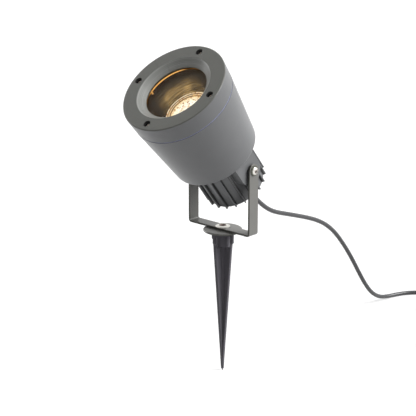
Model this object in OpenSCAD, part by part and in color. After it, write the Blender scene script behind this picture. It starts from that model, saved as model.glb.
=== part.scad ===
// Garden spike spotlight: a cast lamp head that tilts in a steel yoke, which swivels on a ground spike.
// The origin is on the spike's axis at the underside of the seat disc, where the disc rests on the soil.
// +Z is up, -Y is the way the light points, and +X is the side of the right yoke arm.

/* [Head] */
// Angle of the head's axis above the horizontal
head_tilt = 51.3; // [40:0.1:60]
// Distance from the tilt axis forward to the front face
front_reach = 114; // [111:0.5:118]
// Distance from the tilt axis back to the rear face of the finned drum
rear_reach = 31.3; // [31:0.1:34]
// Distance from the tilt axis forward to the sleeve's rear face
rim_reach = 19.7; // [18.5:0.1:20.5]
// Outer radius of the sleeve at its seam with the front ring
sleeve_front_r = 52.8; // [52.4:0.1:53.6]
// Outer radius of the sleeve at its rear rim
sleeve_rear_r = 44.8; // [44:0.1:46]
// Rounding of the sleeve's rear rim
rim_round = 2.5; // [1:0.1:3]
// Wall thickness of the casting
cast_wall = 3; // [2.6:0.1:3.4]

/* [Heat sink] */
// Outer radius of the drum between its fins
drum_r = 30.4; // [30:0.1:31]
// Outer radius over the fins
fin_r = 33.1; // [32.5:0.1:34]
// Thickness of a fin
fin_t = 2; // [1.4:0.1:2.6]
// Number of places for fins around the drum
fin_count = 20; // [16:2:24]
// Half of the width of a side pad
pad_half = 14.7; // [14:0.1:16]
// Distance that the pads' middle lies below the head's axis
pad_drop = 1.3; // [0:0.1:2]

/* [Front ring] */
// Outer radius of the ring at its front face
ring_r = 54; // [53.6:0.1:55]
// Length of the ring from its front face to the seam
ring_len = 19.6; // [18.5:0.1:21]
// Radius of the bevel at the front face
mouth_r = 39; // [37:0.1:40]
// Radius of the bevel in front of the glass
throat_r = 32; // [30:0.1:33]
// Depth of the bevel behind the front face
bevel_depth = 6.3; // [5.5:0.1:7]
// Radius of the circle that the ring's screws lie on
screw_circle_r = 46.4; // [46:0.1:46.8]
// Radius of a screw pocket in the front face
pocket_r = 3.6; // [3.4:0.1:3.8]
// Depth of a screw pocket
pocket_depth = 6; // [5:0.1:7]

/* [Glass] */
// Radius of the safety glass
glass_r = 40; // [38:0.1:41]
// Thickness of the safety glass
glass_t = 4; // [3:0.1:4.5]

/* [Lamp] */
// Radius of the lamp's front
lamp_r = 25; // [24:0.1:26]
// Length of the lamp from its front to its base, without the pins
lamp_len = 45; // [43:0.5:47]
// Distance from the ring's front face back to the lamp's front
lamp_recess = 35; // [33:0.5:37]
// Distance between the middles of the lamp's pins
lamp_pin_pitch = 5.3; // [5:0.1:6]

/* [Yoke] */
// Outer width of the yoke over both arms
yoke_w = 82; // [81.4:0.1:84]
// Width of the steel strip that the yoke is bent from
strip_w = 13.2; // [12:0.1:15]
// Thickness of the steel strip
strip_t = 2; // [1.5:0.1:2.2]
// Inner radius of the bends
bend_r = 1.5; // [1:0.1:3]
// Thickness of the spacer between each arm and the head's side pad
spacer_t = 1.5; // [1:0.1:2.5]
// Height of the tilt axis above the underside of the strip
pivot_h = 67.5; // [64:0.5:72]
// Radius of the thread of a pivot screw
pivot_screw_r = 2.5; // [2:0.1:3]
// Radius of the head of a pivot screw
pivot_head_r = 4.1; // [3.8:0.1:4.4]

/* [Base] */
// Radius of the seat disc
disc_r = 19.9; // [19:0.1:22]
// Thickness of the seat disc
disc_t = 2.2; // [1.8:0.1:3.2]
// Radius of the thread of the base screw
base_screw_r = 3; // [2.5:0.1:3.3]
// Radius of the low domed head of the base screw
base_head_r = 7.5; // [6.8:0.1:9]
// Radius of the nylon washer between the disc and the yoke
washer_r = 6.4; // [5.5:0.1:8]

/* [Spike] */
// Length of the spike from its top to its tip
spike_len = 153; // [140:1:170]
// Reach of the four ribs just below their shoulders
rib_r = 12.3; // [11.6:0.1:13]
// Reach of the four prongs on the ribs that stand under the disc
shoulder_r = 13.9; // [13.5:0.1:14.6]
// Thickness of a rib
rib_t = 2.6; // [2:0.1:3.2]
// Radius of the round flange at the top of the spike
flange_r = 11.3; // [10:0.1:12.5]
// Thickness of that flange
flange_t = 4.1; // [3:0.1:5]
// Radius of the round collar under the flange
collar_r = 7.4; // [7:0.1:8.2]
// Length of the spike's top end down to the bottom of the collar
collar_len = 16.6; // [16:0.1:18]

/* [Cable] */
// Diameter of the cable
cable_d = 4.8; // [4.6:0.1:5]
// Number of turns in the stored coil, which ends a quarter turn on from its start
coil_turns = 6.25; // [4.25:1:6.25]
// Radius of the coil's outermost turn, at the middle of the cable
coil_r = 36; // [35:0.5:38]
// Length of the bend relief that the cable leaves the head through
boot_len = 19.7; // [18:0.1:20]
// Radius of the plug's grip
grip_r = 8; // [7:0.1:9]
// Radius of the plug's spigot
spigot_r = 5.5; // [5:0.1:6]

/* [Hidden] */

// How far a cutting shape runs past the face that it cuts
overrun = 1;
// Radial clearance of a screw in the hole that it turns or threads in
screw_gap = 0.05;
// Clearance round a piece that drops into a recess
seat_gap = 0.4;
// Degrees in a full turn
turn = 360;

// Seat disc, its locating recess and the spike's top end
disc_recess = 0.6;
recess_r = shoulder_r + seat_gap;
floor_z = disc_recess - spike_len;
tip_r = 0.8;
tip_len = 2.4;
rib_core_r = 4.6;
prong_w = 2.6;
prong_len = 12.8;
prong_bevel = 1.4;
collar_bevel = 2;
insert_r = 4.6;
insert_len = 14;
insert_bottom = disc_recess - insert_len;

// Heights of the stack above the soil line
washer_t = 0.3;
strip_z = disc_t + washer_t;
base_head_z = strip_z + strip_t;
base_head_t = 2.2;
base_screw_len = base_head_z - insert_bottom;
pivot_z = strip_z + pivot_h;

// Screw heads: crown or edge and cross recess, as shares of the head's radius and height
crown_share = 0.25;
edge_share = 0.25;
recess_length_share = 1.1;
recess_width_share = 0.22;
recess_depth_share = 0.5;
dome_steps = 8;
base_driver_r = 5;

// Yoke arms and the pieces on the pivot screws, measured out from the head's axis
arm_out = yoke_w / 2;
arm_in = arm_out - strip_t;
pad_reach = arm_in - spacer_t;
pivot_washer_t = 0.8;
pivot_washer_r = 5.2;
pivot_head_t = 2.6;
pivot_screw_depth = 7;
spacer_r = 6;

// Front ring, along the head's axis from the tilt axis
seam_seal_t = 1;
seam_z = front_reach - ring_len;
ring_back = seam_z + seam_seal_t / 2;
case_front = seam_z - seam_seal_t / 2;
ring_edge = 1.2;
lip_land = 1.2;
lip_back = front_reach - bevel_depth - lip_land;
hub_wall = 2.5;
hub_step = 3;
ring_boss_r = 5.4;
skirt_in_r = sleeve_front_r - cast_wall;
seam_inset = 0.8;

// Glass and its seals
glass_seal_t = 1;
glass_front = lip_back - glass_seal_t;
glass_back = glass_front - glass_t;
glass_edge = 0.4;
seal_inset = 1.5;

// Glare tube between the glass and the lamp
tube_step = 2.4;
tube_r = throat_r + tube_step;
tube_wall = 1.2;
tube_front = glass_back - glass_seal_t;
tube_cover = 13;
tube_flange_r = skirt_in_r - seat_gap;

// Screws that hold the ring
ring_screw_r = 2;
ring_screw_len = 28;
ring_head_r = pocket_r - seat_gap;
ring_head_t = 2.6;
case_boss_len = 18;

// Lamp
lamp_face = front_reach - lamp_recess;
lamp_base = lamp_face - lamp_len;
tube_back = lamp_face - tube_cover;
bezel_t = 2.4;
bezel_w = 2.6;
lens_t = 1.4;
lens_rib_w = 1.6;
lens_rib_t = 0.5;
lamp_neck_r = 12.5;
lamp_neck_len = 9;
lamp_rim_len = 4;
lamp_pin_r = 0.75;
lamp_pin_len = 7;

// Lamp holder and the bar that carries it
bar_t = 1.5;
bar_w = 28;
bar_end_gap = 3;
bar_screw_inset = 5;
pillar_h = 4;
pillar_r = 4;
case_floor = rim_reach + cast_wall;
bar_z = case_floor + pillar_h;
bar_half = sleeve_rear_r - cast_wall - bar_end_gap;
bar_screw_x = bar_half - bar_screw_inset;
holder_r = 10.5;
holder_len = 14;
ear_t = 2;
ear_half = 16;
ear_w = 12;
ear_screw_x = 13;
small_screw_r = 1.25;
small_head_r = 2.3;
small_head_t = 1.6;
small_screw_len = 6;
bar_screw_r = 2;
bar_head_r = 3.5;
bar_head_t = 2.4;
bar_screw_len = 7;

// Terminal block on the drum's rear wall
drum_floor = cast_wall - rear_reach;
block_x = 24;
block_y = 13;
block_z = 10;
block_side = -9;
block_seat_h = 1.5;
pole_x = 5;
wire_hole_r = 1.5;
wire_hole_z = drum_floor + block_seat_h + block_z / 2;
clamp_screw_r = 1.4;
clamp_screw_t = 1.6;
clamp_inset = 2.6;

// Cable entry through the drum's rear wall
gland_side = 9.4;
gland_r = 6;
gland_seal_t = 1;
gland_hex_r = 8.6;
gland_hex_t = 4;
gland_nut_t = 3;
gland_in = 4;
boot_root_r = 6.6;
boot_tip_r = 3.8;
boot_groove_d = 0.9;
boot_groove_w = 1.4;
boot_grooves = 4;
gland_out = rear_reach + gland_seal_t + gland_hex_t;
cable_out = gland_out + boot_len;
cable_stub = 1;
cable_in = rear_reach - cast_wall - gland_in - cable_stub;

// Insulated cores inside the head
core_r = 0.9;
core_x = 1.1;

// Stored coil, tie and plug, laid on the surface that the spike's tip touches
coil_x = 86;
coil_y = 306;
turn_gap = 0.5;
turn_pitch = cable_d + turn_gap;
tie_t = 0.8;
tie_w = 6;
tie_gap = 0.1;
coil_z = floor_z + tie_t + tie_gap + cable_d / 2;
rings_per_turn = 24;
coil_sides = 6;
tie_turn = 0.75;
sleeve_len = 22;
sleeve_tip_r = 3.6;
sleeve_root_r = 6;
grip_len = 22;
grip_round = 1.5;
grip_rib_w = 1.6;
grip_ribs = 5;
plug_seal_t = 1.2;
plug_neck = 0.3;
spigot_len = 8.8;
contact_r = 1;
contact_len = 8;
contact_x = 2.6;
plug_x = coil_x + coil_r;
plug_y = 252;
plug_z = floor_z + grip_r;

// Route of the cable from the bend relief down to the floor and on to the coil
LEAD_ROUTE = [
  [0, 42.5, 32], [0, 55, 18.5], [0, 75, 3.5], [0, 98, -4], [0, 122, -12], [0, 145, -20],
  [0, 167, -30], [0, 186, -44], [0, 202, -61.5], [0, 217, -80], [0, 231, -100], [0, 245, -120],
  [0, 261, -138], [0, 281, -148.5], [2, 304, -150], [12, 325, -150], [32, 338, -150],
  [54, 342, -149.5], [75, 342, -149.1], [81, 342, -149.1]
];
// Route of the cable from the coil to the plug
TAIL_ROUTE = [
  [122, 301, -143.8], [122, 295, -143.8], [122, 286, -145.2], [122, 275, -147.4], [122, 265, -146.4],
  [122, 257, -144.4], [122, 252.2, -144.4]
];

function unit(v) = v / norm(v);

// Points of a round stretch of an outline
function arc(middle, r, from, to, steps = 6) =
  [for (i = [0:steps]) middle + r * [cos(from + (to - from) * i / steps), sin(from + (to - from) * i / steps)]];

// Smooth line through the neighbourhood of a route's points, which starts and ends on its end points
function padded(p) =
  let(n = len(p) - 1) concat([2 * p[0] - p[1]], p, [2 * p[n] - p[n - 1]]);
function blend_point(a, b, c, d, t) =
  (pow(1 - t, 3) * a + (3 * pow(t, 3) - 6 * t * t + 4) * b
    + (1 + 3 * t + 3 * t * t - 3 * pow(t, 3)) * c + pow(t, 3) * d) / 6;
function smooth_route(p, steps) =
  let(q = padded(p))
  concat(
    [for (i = [0:len(p) - 2], k = [0:steps - 1])
      blend_point(q[i], q[i + 1], q[i + 2], q[i + 3], k / steps)],
    [p[len(p) - 1]]
  );

// Direction of a line at its point i
function heading(p, i) = unit(p[min(i + 1, len(p) - 1)] - p[max(i - 1, 0)]);

// Tube along a line, as one closed mesh. level is a direction that the line never runs along
module tube(line, r, sides, level) {
  rings = [
    for (i = [0:len(line) - 1])
      let(ahead = heading(line, i), across = unit(cross(ahead, level)), over = cross(across, ahead))
        [for (k = [0:sides - 1]) line[i] + r * (cos(turn * k / sides) * across + sin(turn * k / sides) * over)]
  ];
  last = len(line) - 1;
  walls = [
    for (i = [0:last - 1], k = [0:sides - 1])
      let(a = i * sides + k, b = i * sides + (k + 1) % sides)
        each [[a, b, b + sides], [a, b + sides, a + sides]]
  ];
  caps = [
    for (k = [1:sides - 2])
      each [[0, k + 1, k], [last * sides, last * sides + k, last * sides + k + 1]]
  ];
  polyhedron(points = [for (ring = rings) each ring], faces = concat(walls, caps));
}

// Head frame: its Z runs along the head's axis towards the front, from the tilt axis
module head_place() {
  translate([0, 0, pivot_z]) rotate([90 - head_tilt, 0, 0]) children();
}

// Round bar or bore between two heights
module rod(r, from, to, sides = 48) {
  translate([0, 0, from]) cylinder(r = r, h = to - from, $fn = sides);
}

// Flat ring between two heights
module collar(inner, outer, from, to, sides = 96) {
  difference() {
    rod(outer, from, to, sides);
    rod(inner, from - overrun, to + overrun, sides);
  }
}

// Cross recess in a head of height h, for a driver that fits a radius r
module cross_recess(r, h) {
  for (a = [0, 90])
    rotate([0, 0, a])
      translate([-r * recess_length_share / 2, -r * recess_width_share / 2, h * (1 - recess_depth_share)])
        cube([r * recess_length_share, r * recess_width_share, h]);
}

// Pan head, its underside at height zero
module pan_head(r, h) {
  crown = r * crown_share;
  difference() {
    union() {
      rod(r, 0, h - crown);
      translate([0, 0, h - crown]) cylinder(r1 = r, r2 = r - crown, h = crown, $fn = 48);
    }
    cross_recess(r, h);
  }
}

// Low domed head, its underside at height zero, with a recess for a driver that fits a radius driver_r
module dome_head(r, h, driver_r) {
  rise = h * (1 - edge_share);
  dome_r = (r * r + rise * rise) / (2 * rise);
  span = asin(r / dome_r);
  difference() {
    rotate_extrude($fn = 64)
      polygon(concat(
        [[0, 0], [r, 0]],
        [for (i = [dome_steps:-1:0]) [dome_r * sin(span * i / dome_steps),
          h - dome_r + dome_r * cos(span * i / dome_steps)]]
      ));
    cross_recess(driver_r, h);
  }
}

// The four places of the ring's screws
module at_ring_screws() {
  for (a = [0:90:270]) rotate([0, 0, a]) translate([screw_circle_r, 0, 0]) children();
}

// Both sides of the head, with Z pointing outwards along the tilt axis
module at_pivots() {
  for (side = [-1, 1]) rotate([0, side * 90, 0]) children();
}

// One rib of the spike to both sides of its axis, with an upright prong at each end beside the collar
module rib_pair() {
  bottom = disc_recess - collar_len;
  prong_bottom = disc_recess - prong_len;
  window_h = collar_len - flange_t;
  rotate([90, 0, 0]) linear_extrude(height = rib_t, center = true) difference() {
    polygon([
      [-shoulder_r, disc_recess], [-shoulder_r, prong_bottom + prong_bevel], [-rib_r, prong_bottom],
      [-tip_r, floor_z + tip_len], [tip_r, floor_z + tip_len],
      [rib_r, prong_bottom], [shoulder_r, prong_bottom + prong_bevel], [shoulder_r, disc_recess]
    ]);
    for (flip = [0, 1]) mirror([flip, 0])
      translate([collar_r / 2, bottom]) square([shoulder_r - prong_w - collar_r / 2, window_h]);
  }
}

// Moulded plastic ground spike: round flange and collar over four tapering ribs
module spike() {
  bottom = disc_recess - collar_len;
  flange_bottom = disc_recess - flange_t;
  color("#4b494c") difference() {
    union() {
      rod(flange_r, flange_bottom, disc_recess, 96);
      rod(collar_r, bottom + collar_bevel, flange_bottom + overrun, 96);
      translate([0, 0, bottom])
        cylinder(r1 = collar_r - collar_bevel / 2, r2 = collar_r, h = collar_bevel, $fn = 96);
      translate([0, 0, floor_z + tip_len])
        cylinder(r1 = tip_r, r2 = rib_core_r, h = bottom - floor_z - tip_len + overrun, $fn = 48);
      translate([0, 0, floor_z]) cylinder(r1 = tip_r / 4, r2 = tip_r, h = tip_len, $fn = 48);
      for (a = [0, 90]) rotate([0, 0, a]) rib_pair();
    }
    rod(insert_r + screw_gap, insert_bottom - overrun, disc_recess + overrun);
  }
}

// Brass thread insert moulded into the top of the spike
module spike_insert() {
  color("#b5924c")
    collar(base_screw_r + screw_gap, insert_r, insert_bottom, disc_recess, 48);
}

// Painted seat disc with a full round edge and a shallow recess that locates the spike
module seat_disc() {
  round_r = disc_t / 2;
  color("#7c7b70") difference() {
    rotate_extrude($fn = 120) {
      square([disc_r - round_r, disc_t]);
      translate([disc_r - round_r, round_r]) circle(r = round_r, $fn = 32);
    }
    rod(recess_r, -overrun, disc_recess, 96);
    rod(base_screw_r + screw_gap, -overrun, disc_t + overrun);
  }
}

// Thin nylon washer that the yoke swivels on
module base_washer() {
  color("#26262a")
    collar(base_screw_r + screw_gap, washer_r, disc_t, strip_z, 64);
}

// Base screw through the yoke and the disc into the spike's insert
module base_screw() {
  color("#d2d2cf") {
    translate([0, 0, base_head_z]) dome_head(base_head_r, base_head_t, base_driver_r);
    rod(base_screw_r, base_head_z - base_screw_len, base_head_z);
  }
}

// Quarter bend of the strip at the foot of the right arm
module yoke_bend() {
  translate([arm_in - bend_r, 0, strip_z + strip_t + bend_r])
    rotate([90, 0, 0])
      intersection() {
        difference() {
          rod(bend_r + strip_t, -strip_w / 2, strip_w / 2, 64);
          rod(bend_r, -strip_w / 2 - overrun, strip_w / 2 + overrun, 64);
        }
        translate([0, -bend_r - strip_t, -strip_w / 2])
          cube([bend_r + strip_t, bend_r + strip_t, strip_w]);
      }
}

// Painted steel yoke, one strip bent up at both ends
module yoke() {
  foot_half = arm_in - bend_r;
  arm_foot = strip_z + strip_t + bend_r;
  color("#7c7b70") difference() {
    union() {
      translate([-foot_half, -strip_w / 2, strip_z]) cube([2 * foot_half, strip_w, strip_t]);
      for (flip = [0, 1]) mirror([flip, 0, 0]) {
        yoke_bend();
        translate([arm_in, -strip_w / 2, arm_foot]) cube([strip_t, strip_w, pivot_z - arm_foot]);
        translate([0, 0, pivot_z]) rotate([0, 90, 0]) rod(strip_w / 2, arm_in, arm_out, 64);
      }
    }
    translate([0, 0, pivot_z]) rotate([0, 90, 0])
      rod(pivot_screw_r + screw_gap, -arm_out - overrun, arm_out + overrun);
    rod(base_screw_r + screw_gap, strip_z - overrun, strip_z + strip_t + overrun);
  }
}

// Radius of the sleeve's outside at a place along the head's axis
function sleeve_r(z) =
  sleeve_rear_r + (sleeve_front_r - sleeve_rear_r) * (z - rim_reach - rim_round)
    / (case_front - rim_reach - rim_round);

// Thin wall of the sleeve and its rear wall, turned
module sleeve_shell() {
  overlap = cast_wall / 2;
  rotate_extrude($fn = 180)
    polygon(concat(
      [[drum_r - overlap, rim_reach]],
      arc([sleeve_rear_r - rim_round, rim_reach + rim_round], rim_round, -90, 0),
      [
        [sleeve_front_r, case_front], [skirt_in_r, case_front],
        [sleeve_r(case_floor + cast_wall) - cast_wall, case_floor + cast_wall],
        [sleeve_r(case_floor) - 2 * cast_wall, case_floor],
        [drum_r - overlap, case_floor]
      ]
    ));
}

// Radial fins of the drum, which stop at the plane of the side pads
module fins() {
  fin_len = rear_reach + rim_reach + cast_wall / 2;
  intersection() {
    for (i = [0:fin_count - 1])
      rotate([0, 0, turn * i / fin_count])
        translate([drum_r - cast_wall / 2, -fin_t / 2, -rear_reach])
          cube([fin_r - drum_r + cast_wall / 2, fin_t, fin_len]);
    translate([-pad_reach, -fin_r, -rear_reach]) cube([2 * pad_reach, 2 * fin_r, fin_len]);
  }
}

// Screw boss of the ring or the housing, joined to the wall outside it
module ring_boss(from, to) {
  rod(ring_boss_r, from, to);
  translate([0, -ring_boss_r, from]) cube([sleeve_front_r - screw_circle_r, 2 * ring_boss_r, to - from]);
}

// Flat side pads that the yoke's arms clamp, round at the rear
module pads() {
  translate([0, -pad_drop, 0]) {
    at_pivots() rod(pad_half, drum_r / 2, pad_reach, 96);
    translate([-pad_reach, -pad_half, 0]) cube([2 * pad_reach, 2 * pad_half, rim_reach + cast_wall / 2]);
  }
}

// Aluminium casting: tapered sleeve, finned drum and side pads in one piece
module housing() {
  boss_bottom = case_front - case_boss_len;
  color("#6f716f") head_place() difference() {
    union() {
      sleeve_shell();
      intersection() {
        at_ring_screws() ring_boss(boss_bottom, case_front);
        translate([0, 0, boss_bottom])
          cylinder(
            r1 = sleeve_r(boss_bottom) - cast_wall / 2, r2 = sleeve_front_r - cast_wall / 2,
            h = case_boss_len, $fn = 180
          );
      }
      for (side = [-1, 1])
        translate([side * bar_screw_x, 0, 0]) rod(pillar_r, case_floor - cast_wall / 2, bar_z);
      difference() {
        union() {
          rod(drum_r, -rear_reach, case_floor, 120);
          fins();
          pads();
        }
        rod(drum_r - cast_wall, drum_floor, case_floor + overrun, 120);
      }
      translate([-block_x / 2, block_side - block_y / 2, drum_floor - cast_wall / 2])
        cube([block_x, block_y, block_seat_h + cast_wall / 2]);
    }
    at_ring_screws()
      rod(ring_screw_r + screw_gap, case_front - case_boss_len + cast_wall / 2, case_front + overrun);
    at_pivots()
      rod(pivot_screw_r + screw_gap, pad_reach - pivot_screw_depth - overrun, pad_reach + overrun);
    for (side = [-1, 1])
      translate([side * bar_screw_x, 0, 0])
        rod(bar_screw_r + screw_gap, bar_z + bar_t - bar_screw_len - overrun / 2, bar_z + overrun);
    translate([0, gland_side, 0])
      rod(gland_r + screw_gap, -rear_reach - overrun, drum_floor + overrun);
    translate([0, block_side, 0])
      rod(small_screw_r + screw_gap, drum_floor - cast_wall / 2, drum_floor + block_seat_h + overrun);
  }
}

// Flat silicone seal in the seam between the housing and the ring
module seam_seal() {
  color("#33343a") head_place()
    collar(tube_flange_r + seat_gap / 2, sleeve_front_r - seam_inset, case_front, ring_back, 180);
}

// Cast front ring: outer skirt, bevelled mouth, glass pocket and four screw bosses
module front_ring() {
  plate_back = lip_back;
  plate_r = sleeve_front_r + (ring_r - sleeve_front_r) * (plate_back - ring_back) / (front_reach - ring_back);
  pocket_wall_r = glass_r + seat_gap;
  color("#6f716f") head_place() difference() {
    union() {
      rotate_extrude($fn = 180)
        polygon(concat(
          [[sleeve_front_r, ring_back]],
          arc([ring_r - ring_edge, front_reach - ring_edge], ring_edge, 0, 90),
          [
            [mouth_r, front_reach], [throat_r, front_reach - bevel_depth],
            [throat_r, lip_back], [pocket_wall_r, lip_back],
            [pocket_wall_r, ring_back + hub_step],
            [pocket_wall_r + hub_wall, ring_back + hub_step],
            [pocket_wall_r + hub_wall, plate_back], [plate_r - cast_wall, plate_back], [skirt_in_r, ring_back]
          ]
        ));
      intersection() {
        at_ring_screws() ring_boss(ring_back, front_reach - bevel_depth);
        collar(pocket_wall_r + hub_wall / 2, sleeve_front_r - cast_wall / 2, ring_back, front_reach, 180);
      }
    }
    at_ring_screws() {
      rod(pocket_r, front_reach - pocket_depth, front_reach + overrun);
      rod(ring_screw_r + screw_gap, ring_back - overrun, front_reach);
    }
  }
}

// Stainless screws that clamp the ring to the housing
module ring_screws() {
  seat = front_reach - pocket_depth;
  color("#d2d2cf") head_place() at_ring_screws() {
    translate([0, 0, seat]) pan_head(ring_head_r, ring_head_t);
    rod(ring_screw_r, seat - ring_screw_len, seat);
  }
}

// Clear toughened glass with a ground edge
module glass() {
  color("#cfd8d8", 0.35) head_place() {
    rod(glass_r, glass_back + glass_edge, glass_front - glass_edge, 120);
    translate([0, 0, glass_back])
      cylinder(r1 = glass_r - glass_edge, r2 = glass_r, h = glass_edge, $fn = 120);
    translate([0, 0, glass_front - glass_edge])
      cylinder(r1 = glass_r, r2 = glass_r - glass_edge, h = glass_edge, $fn = 120);
  }
}

// Silicone rings in front of and behind the glass
module glass_seals() {
  color("#c9a26a") head_place() {
    collar(throat_r + seal_inset, glass_r, glass_front, lip_back, 120);
    collar(tube_r, tube_r + tube_wall + seal_inset, tube_front, glass_back, 120);
  }
}

// Drawn aluminium tube that shields the lamp from the side, hung by its flange in the seam
module glare_tube() {
  color("#6b5a44") head_place() difference() {
    union() {
      rod(tube_r + tube_wall, tube_back, tube_front, 120);
      rod(tube_flange_r, case_front, ring_back, 120);
    }
    rod(tube_r, tube_back - overrun, tube_front + overrun, 120);
    at_ring_screws() rod(ring_screw_r + screw_gap, case_front - overrun, ring_back + overrun);
  }
}

// Lamp body: narrow base that widens to the lamp's front
module lamp_body() {
  back = lamp_base;
  front = lamp_face - bezel_t;
  color("#d8d4cc") head_place()
    rotate_extrude($fn = 96)
      polygon([
        [0, back], [lamp_neck_r, back], [lamp_neck_r, back + lamp_neck_len],
        [lamp_r - bezel_w / 2, front - lamp_rim_len], [lamp_r, front - lamp_rim_len / 2],
        [lamp_r, front], [0, front]
      ]);
}

// Bright ring round the lamp's front
module lamp_bezel() {
  color("#e6dcc4") head_place()
    collar(lamp_r - bezel_w, lamp_r, lamp_face - bezel_t, lamp_face, 96);
}

// Moulded lens plate with a raised rim
module lamp_lens() {
  lens_r = lamp_r - bezel_w - screw_gap;
  back = lamp_face - bezel_t;
  color("#fff1cf") head_place() {
    rod(lens_r, back, back + lens_t, 96);
    collar(lens_r - lens_rib_w, lens_r, back + lens_t, back + lens_t + lens_rib_t, 96);
  }
}

// Two pins at the lamp's base
module lamp_pins() {
  color("#c9c9c6") head_place()
    for (side = [-1, 1])
      translate([side * lamp_pin_pitch / 2, 0, 0]) rod(lamp_pin_r, lamp_base - lamp_pin_len, lamp_base, 24);
}

// Ceramic lamp holder with two ears, let into the bar from the front
module lamp_holder() {
  hole_r = lamp_pin_r + 2 * screw_gap;
  color("#e8e4da") head_place() difference() {
    union() {
      rod(holder_r, lamp_base - holder_len, lamp_base);
      translate([-ear_half, -ear_w / 2, bar_z + bar_t]) cube([2 * ear_half, ear_w, ear_t]);
    }
    for (side = [-1, 1]) {
      translate([side * lamp_pin_pitch / 2, 0, 0])
        rod(hole_r, lamp_base - lamp_pin_len - overrun, lamp_base + overrun, 24);
      translate([side * ear_screw_x, 0, 0])
        rod(small_screw_r + screw_gap, bar_z, bar_z + bar_t + ear_t + overrun);
    }
  }
}

// Screws through the holder's ears into the bar
module holder_screws() {
  seat = bar_z + bar_t + ear_t;
  color("#c9c9c6") head_place()
    for (side = [-1, 1]) translate([side * ear_screw_x, 0, seat]) {
      pan_head(small_head_r, small_head_t);
      rod(small_screw_r, -small_screw_len, 0);
    }
}

// Steel bar across the drum's mouth that carries the lamp holder
module holder_bracket() {
  color("#b8b8b4") head_place() difference() {
    translate([-bar_half, -bar_w / 2, bar_z]) cube([2 * bar_half, bar_w, bar_t]);
    rod(holder_r + seat_gap, bar_z - overrun, bar_z + bar_t + overrun);
    for (side = [-1, 1]) {
      translate([side * ear_screw_x, 0, 0])
        rod(small_screw_r + screw_gap, bar_z - overrun, bar_z + bar_t + overrun);
      translate([side * bar_screw_x, 0, 0])
        rod(bar_screw_r + screw_gap, bar_z - overrun, bar_z + bar_t + overrun);
    }
  }
}

// Screws that hold the bar on its pillars
module bracket_screws() {
  color("#c9c9c6") head_place()
    for (side = [-1, 1]) translate([side * bar_screw_x, 0, bar_z + bar_t]) {
      pan_head(bar_head_r, bar_head_t);
      rod(bar_screw_r, -bar_screw_len, 0);
    }
}

// The two poles of the terminal block
module at_poles() {
  for (side = [-1, 1]) translate([side * pole_x, block_side, 0]) children();
}

// Two-pole terminal block on its seat in the drum
module terminal_block() {
  block_floor = drum_floor + block_seat_h;
  color("#ece9e0") head_place() difference() {
    translate([-block_x / 2, block_side - block_y / 2, block_floor]) cube([block_x, block_y, block_z]);
    at_poles() {
      translate([0, 0, wire_hole_z]) rotate([90, 0, 0])
        rod(wire_hole_r, -block_y / 2 - overrun, block_y / 2 + overrun);
      for (end = [-1, 1])
        translate([0, end * (block_y / 2 - clamp_inset), 0])
          rod(clamp_screw_r + screw_gap, wire_hole_z, block_floor + block_z + overrun);
    }
    translate([0, block_side, 0]) {
      rod(small_screw_r + screw_gap, block_floor - overrun, block_floor + block_z + overrun);
      rod(small_head_r + seat_gap, block_floor + block_z / 2, block_floor + block_z + overrun);
    }
  }
}

// Brass clamp screws of the terminal block, which reach down onto the wires
module terminal_screws() {
  top = drum_floor + block_seat_h + block_z;
  color("#b5924c") head_place() at_poles()
    for (end = [-1, 1])
      translate([0, end * (block_y / 2 - clamp_inset), 0])
        rod(clamp_screw_r, wire_hole_z + core_r + screw_gap, top - clamp_screw_t, 24);
}

// Screw that holds the terminal block on its seat
module block_screw() {
  seat = drum_floor + block_seat_h + block_z / 2;
  color("#c9c9c6") head_place() translate([0, block_side, seat]) {
    pan_head(small_head_r, small_head_t);
    rod(small_screw_r, -small_screw_len, 0);
  }
}

// Core of the cable from its end in the gland to the terminal block, for one side
function supply_line(side) =
  let(
    y0 = gland_side, y1 = block_side + block_y / 2, z0 = -cable_in, z1 = wire_hole_z, rise = z0 + 7 * core_r,
    x0 = side * core_x, x1 = side * pole_x
  )
  [
    [x0, y0, z0], [x0, y0, z0 + 3 * core_r], [x0, y0 - core_r, rise - core_r],
    [x0 + (x1 - x0) / 4, y0 - 4 * core_r, rise],
    [(x0 + x1) / 2, y1 + 5 * core_r, rise - 2 * core_r], [x1, y1 + 3 * core_r, z1 + core_r / 2],
    [x1, y1, z1], [x1, y1 - clamp_inset, z1], [x1, y1 - 2 * clamp_inset, z1]
  ];

// Lead from the terminal block round to the back of the lamp holder, for one side
function holder_line(side) =
  let(
    y0 = block_side - block_y / 2, z0 = wire_hole_z, z1 = lamp_base - holder_len,
    x = side * pole_x, bow = y0 - 6 * core_r, rise = z1 - z0
  )
  [
    [x, y0 + 2 * clamp_inset, z0], [x, y0 + clamp_inset, z0], [x, y0 - core_r, z0], [x, bow, z0 + 2 * core_r],
    [x, bow - core_r, z0 + rise / 4], [x, bow + 3 * core_r, z0 + rise / 2],
    [x, y0 + 6 * core_r, z0 + rise * 2 / 3], [x, -core_r, z1 - 6 * core_r], [x, 0, z1 - 3 * core_r], [x, 0, z1]
  ];

// Supply cores inside the drum
module supply_cores() {
  color("#8a3b2a") head_place()
    for (side = [-1, 1]) tube(smooth_route(supply_line(side), 3), core_r, 8, [1, 0, 0]);
}

// Heatproof leads to the lamp holder
module holder_leads() {
  color("#e9e7df") head_place()
    for (side = [-1, 1]) tube(smooth_route(holder_line(side), 3), core_r, 8, [1, 0, 0]);
}

// Axis of the cable entry
module gland_place() {
  head_place() translate([0, gland_side, 0]) children();
}

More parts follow.
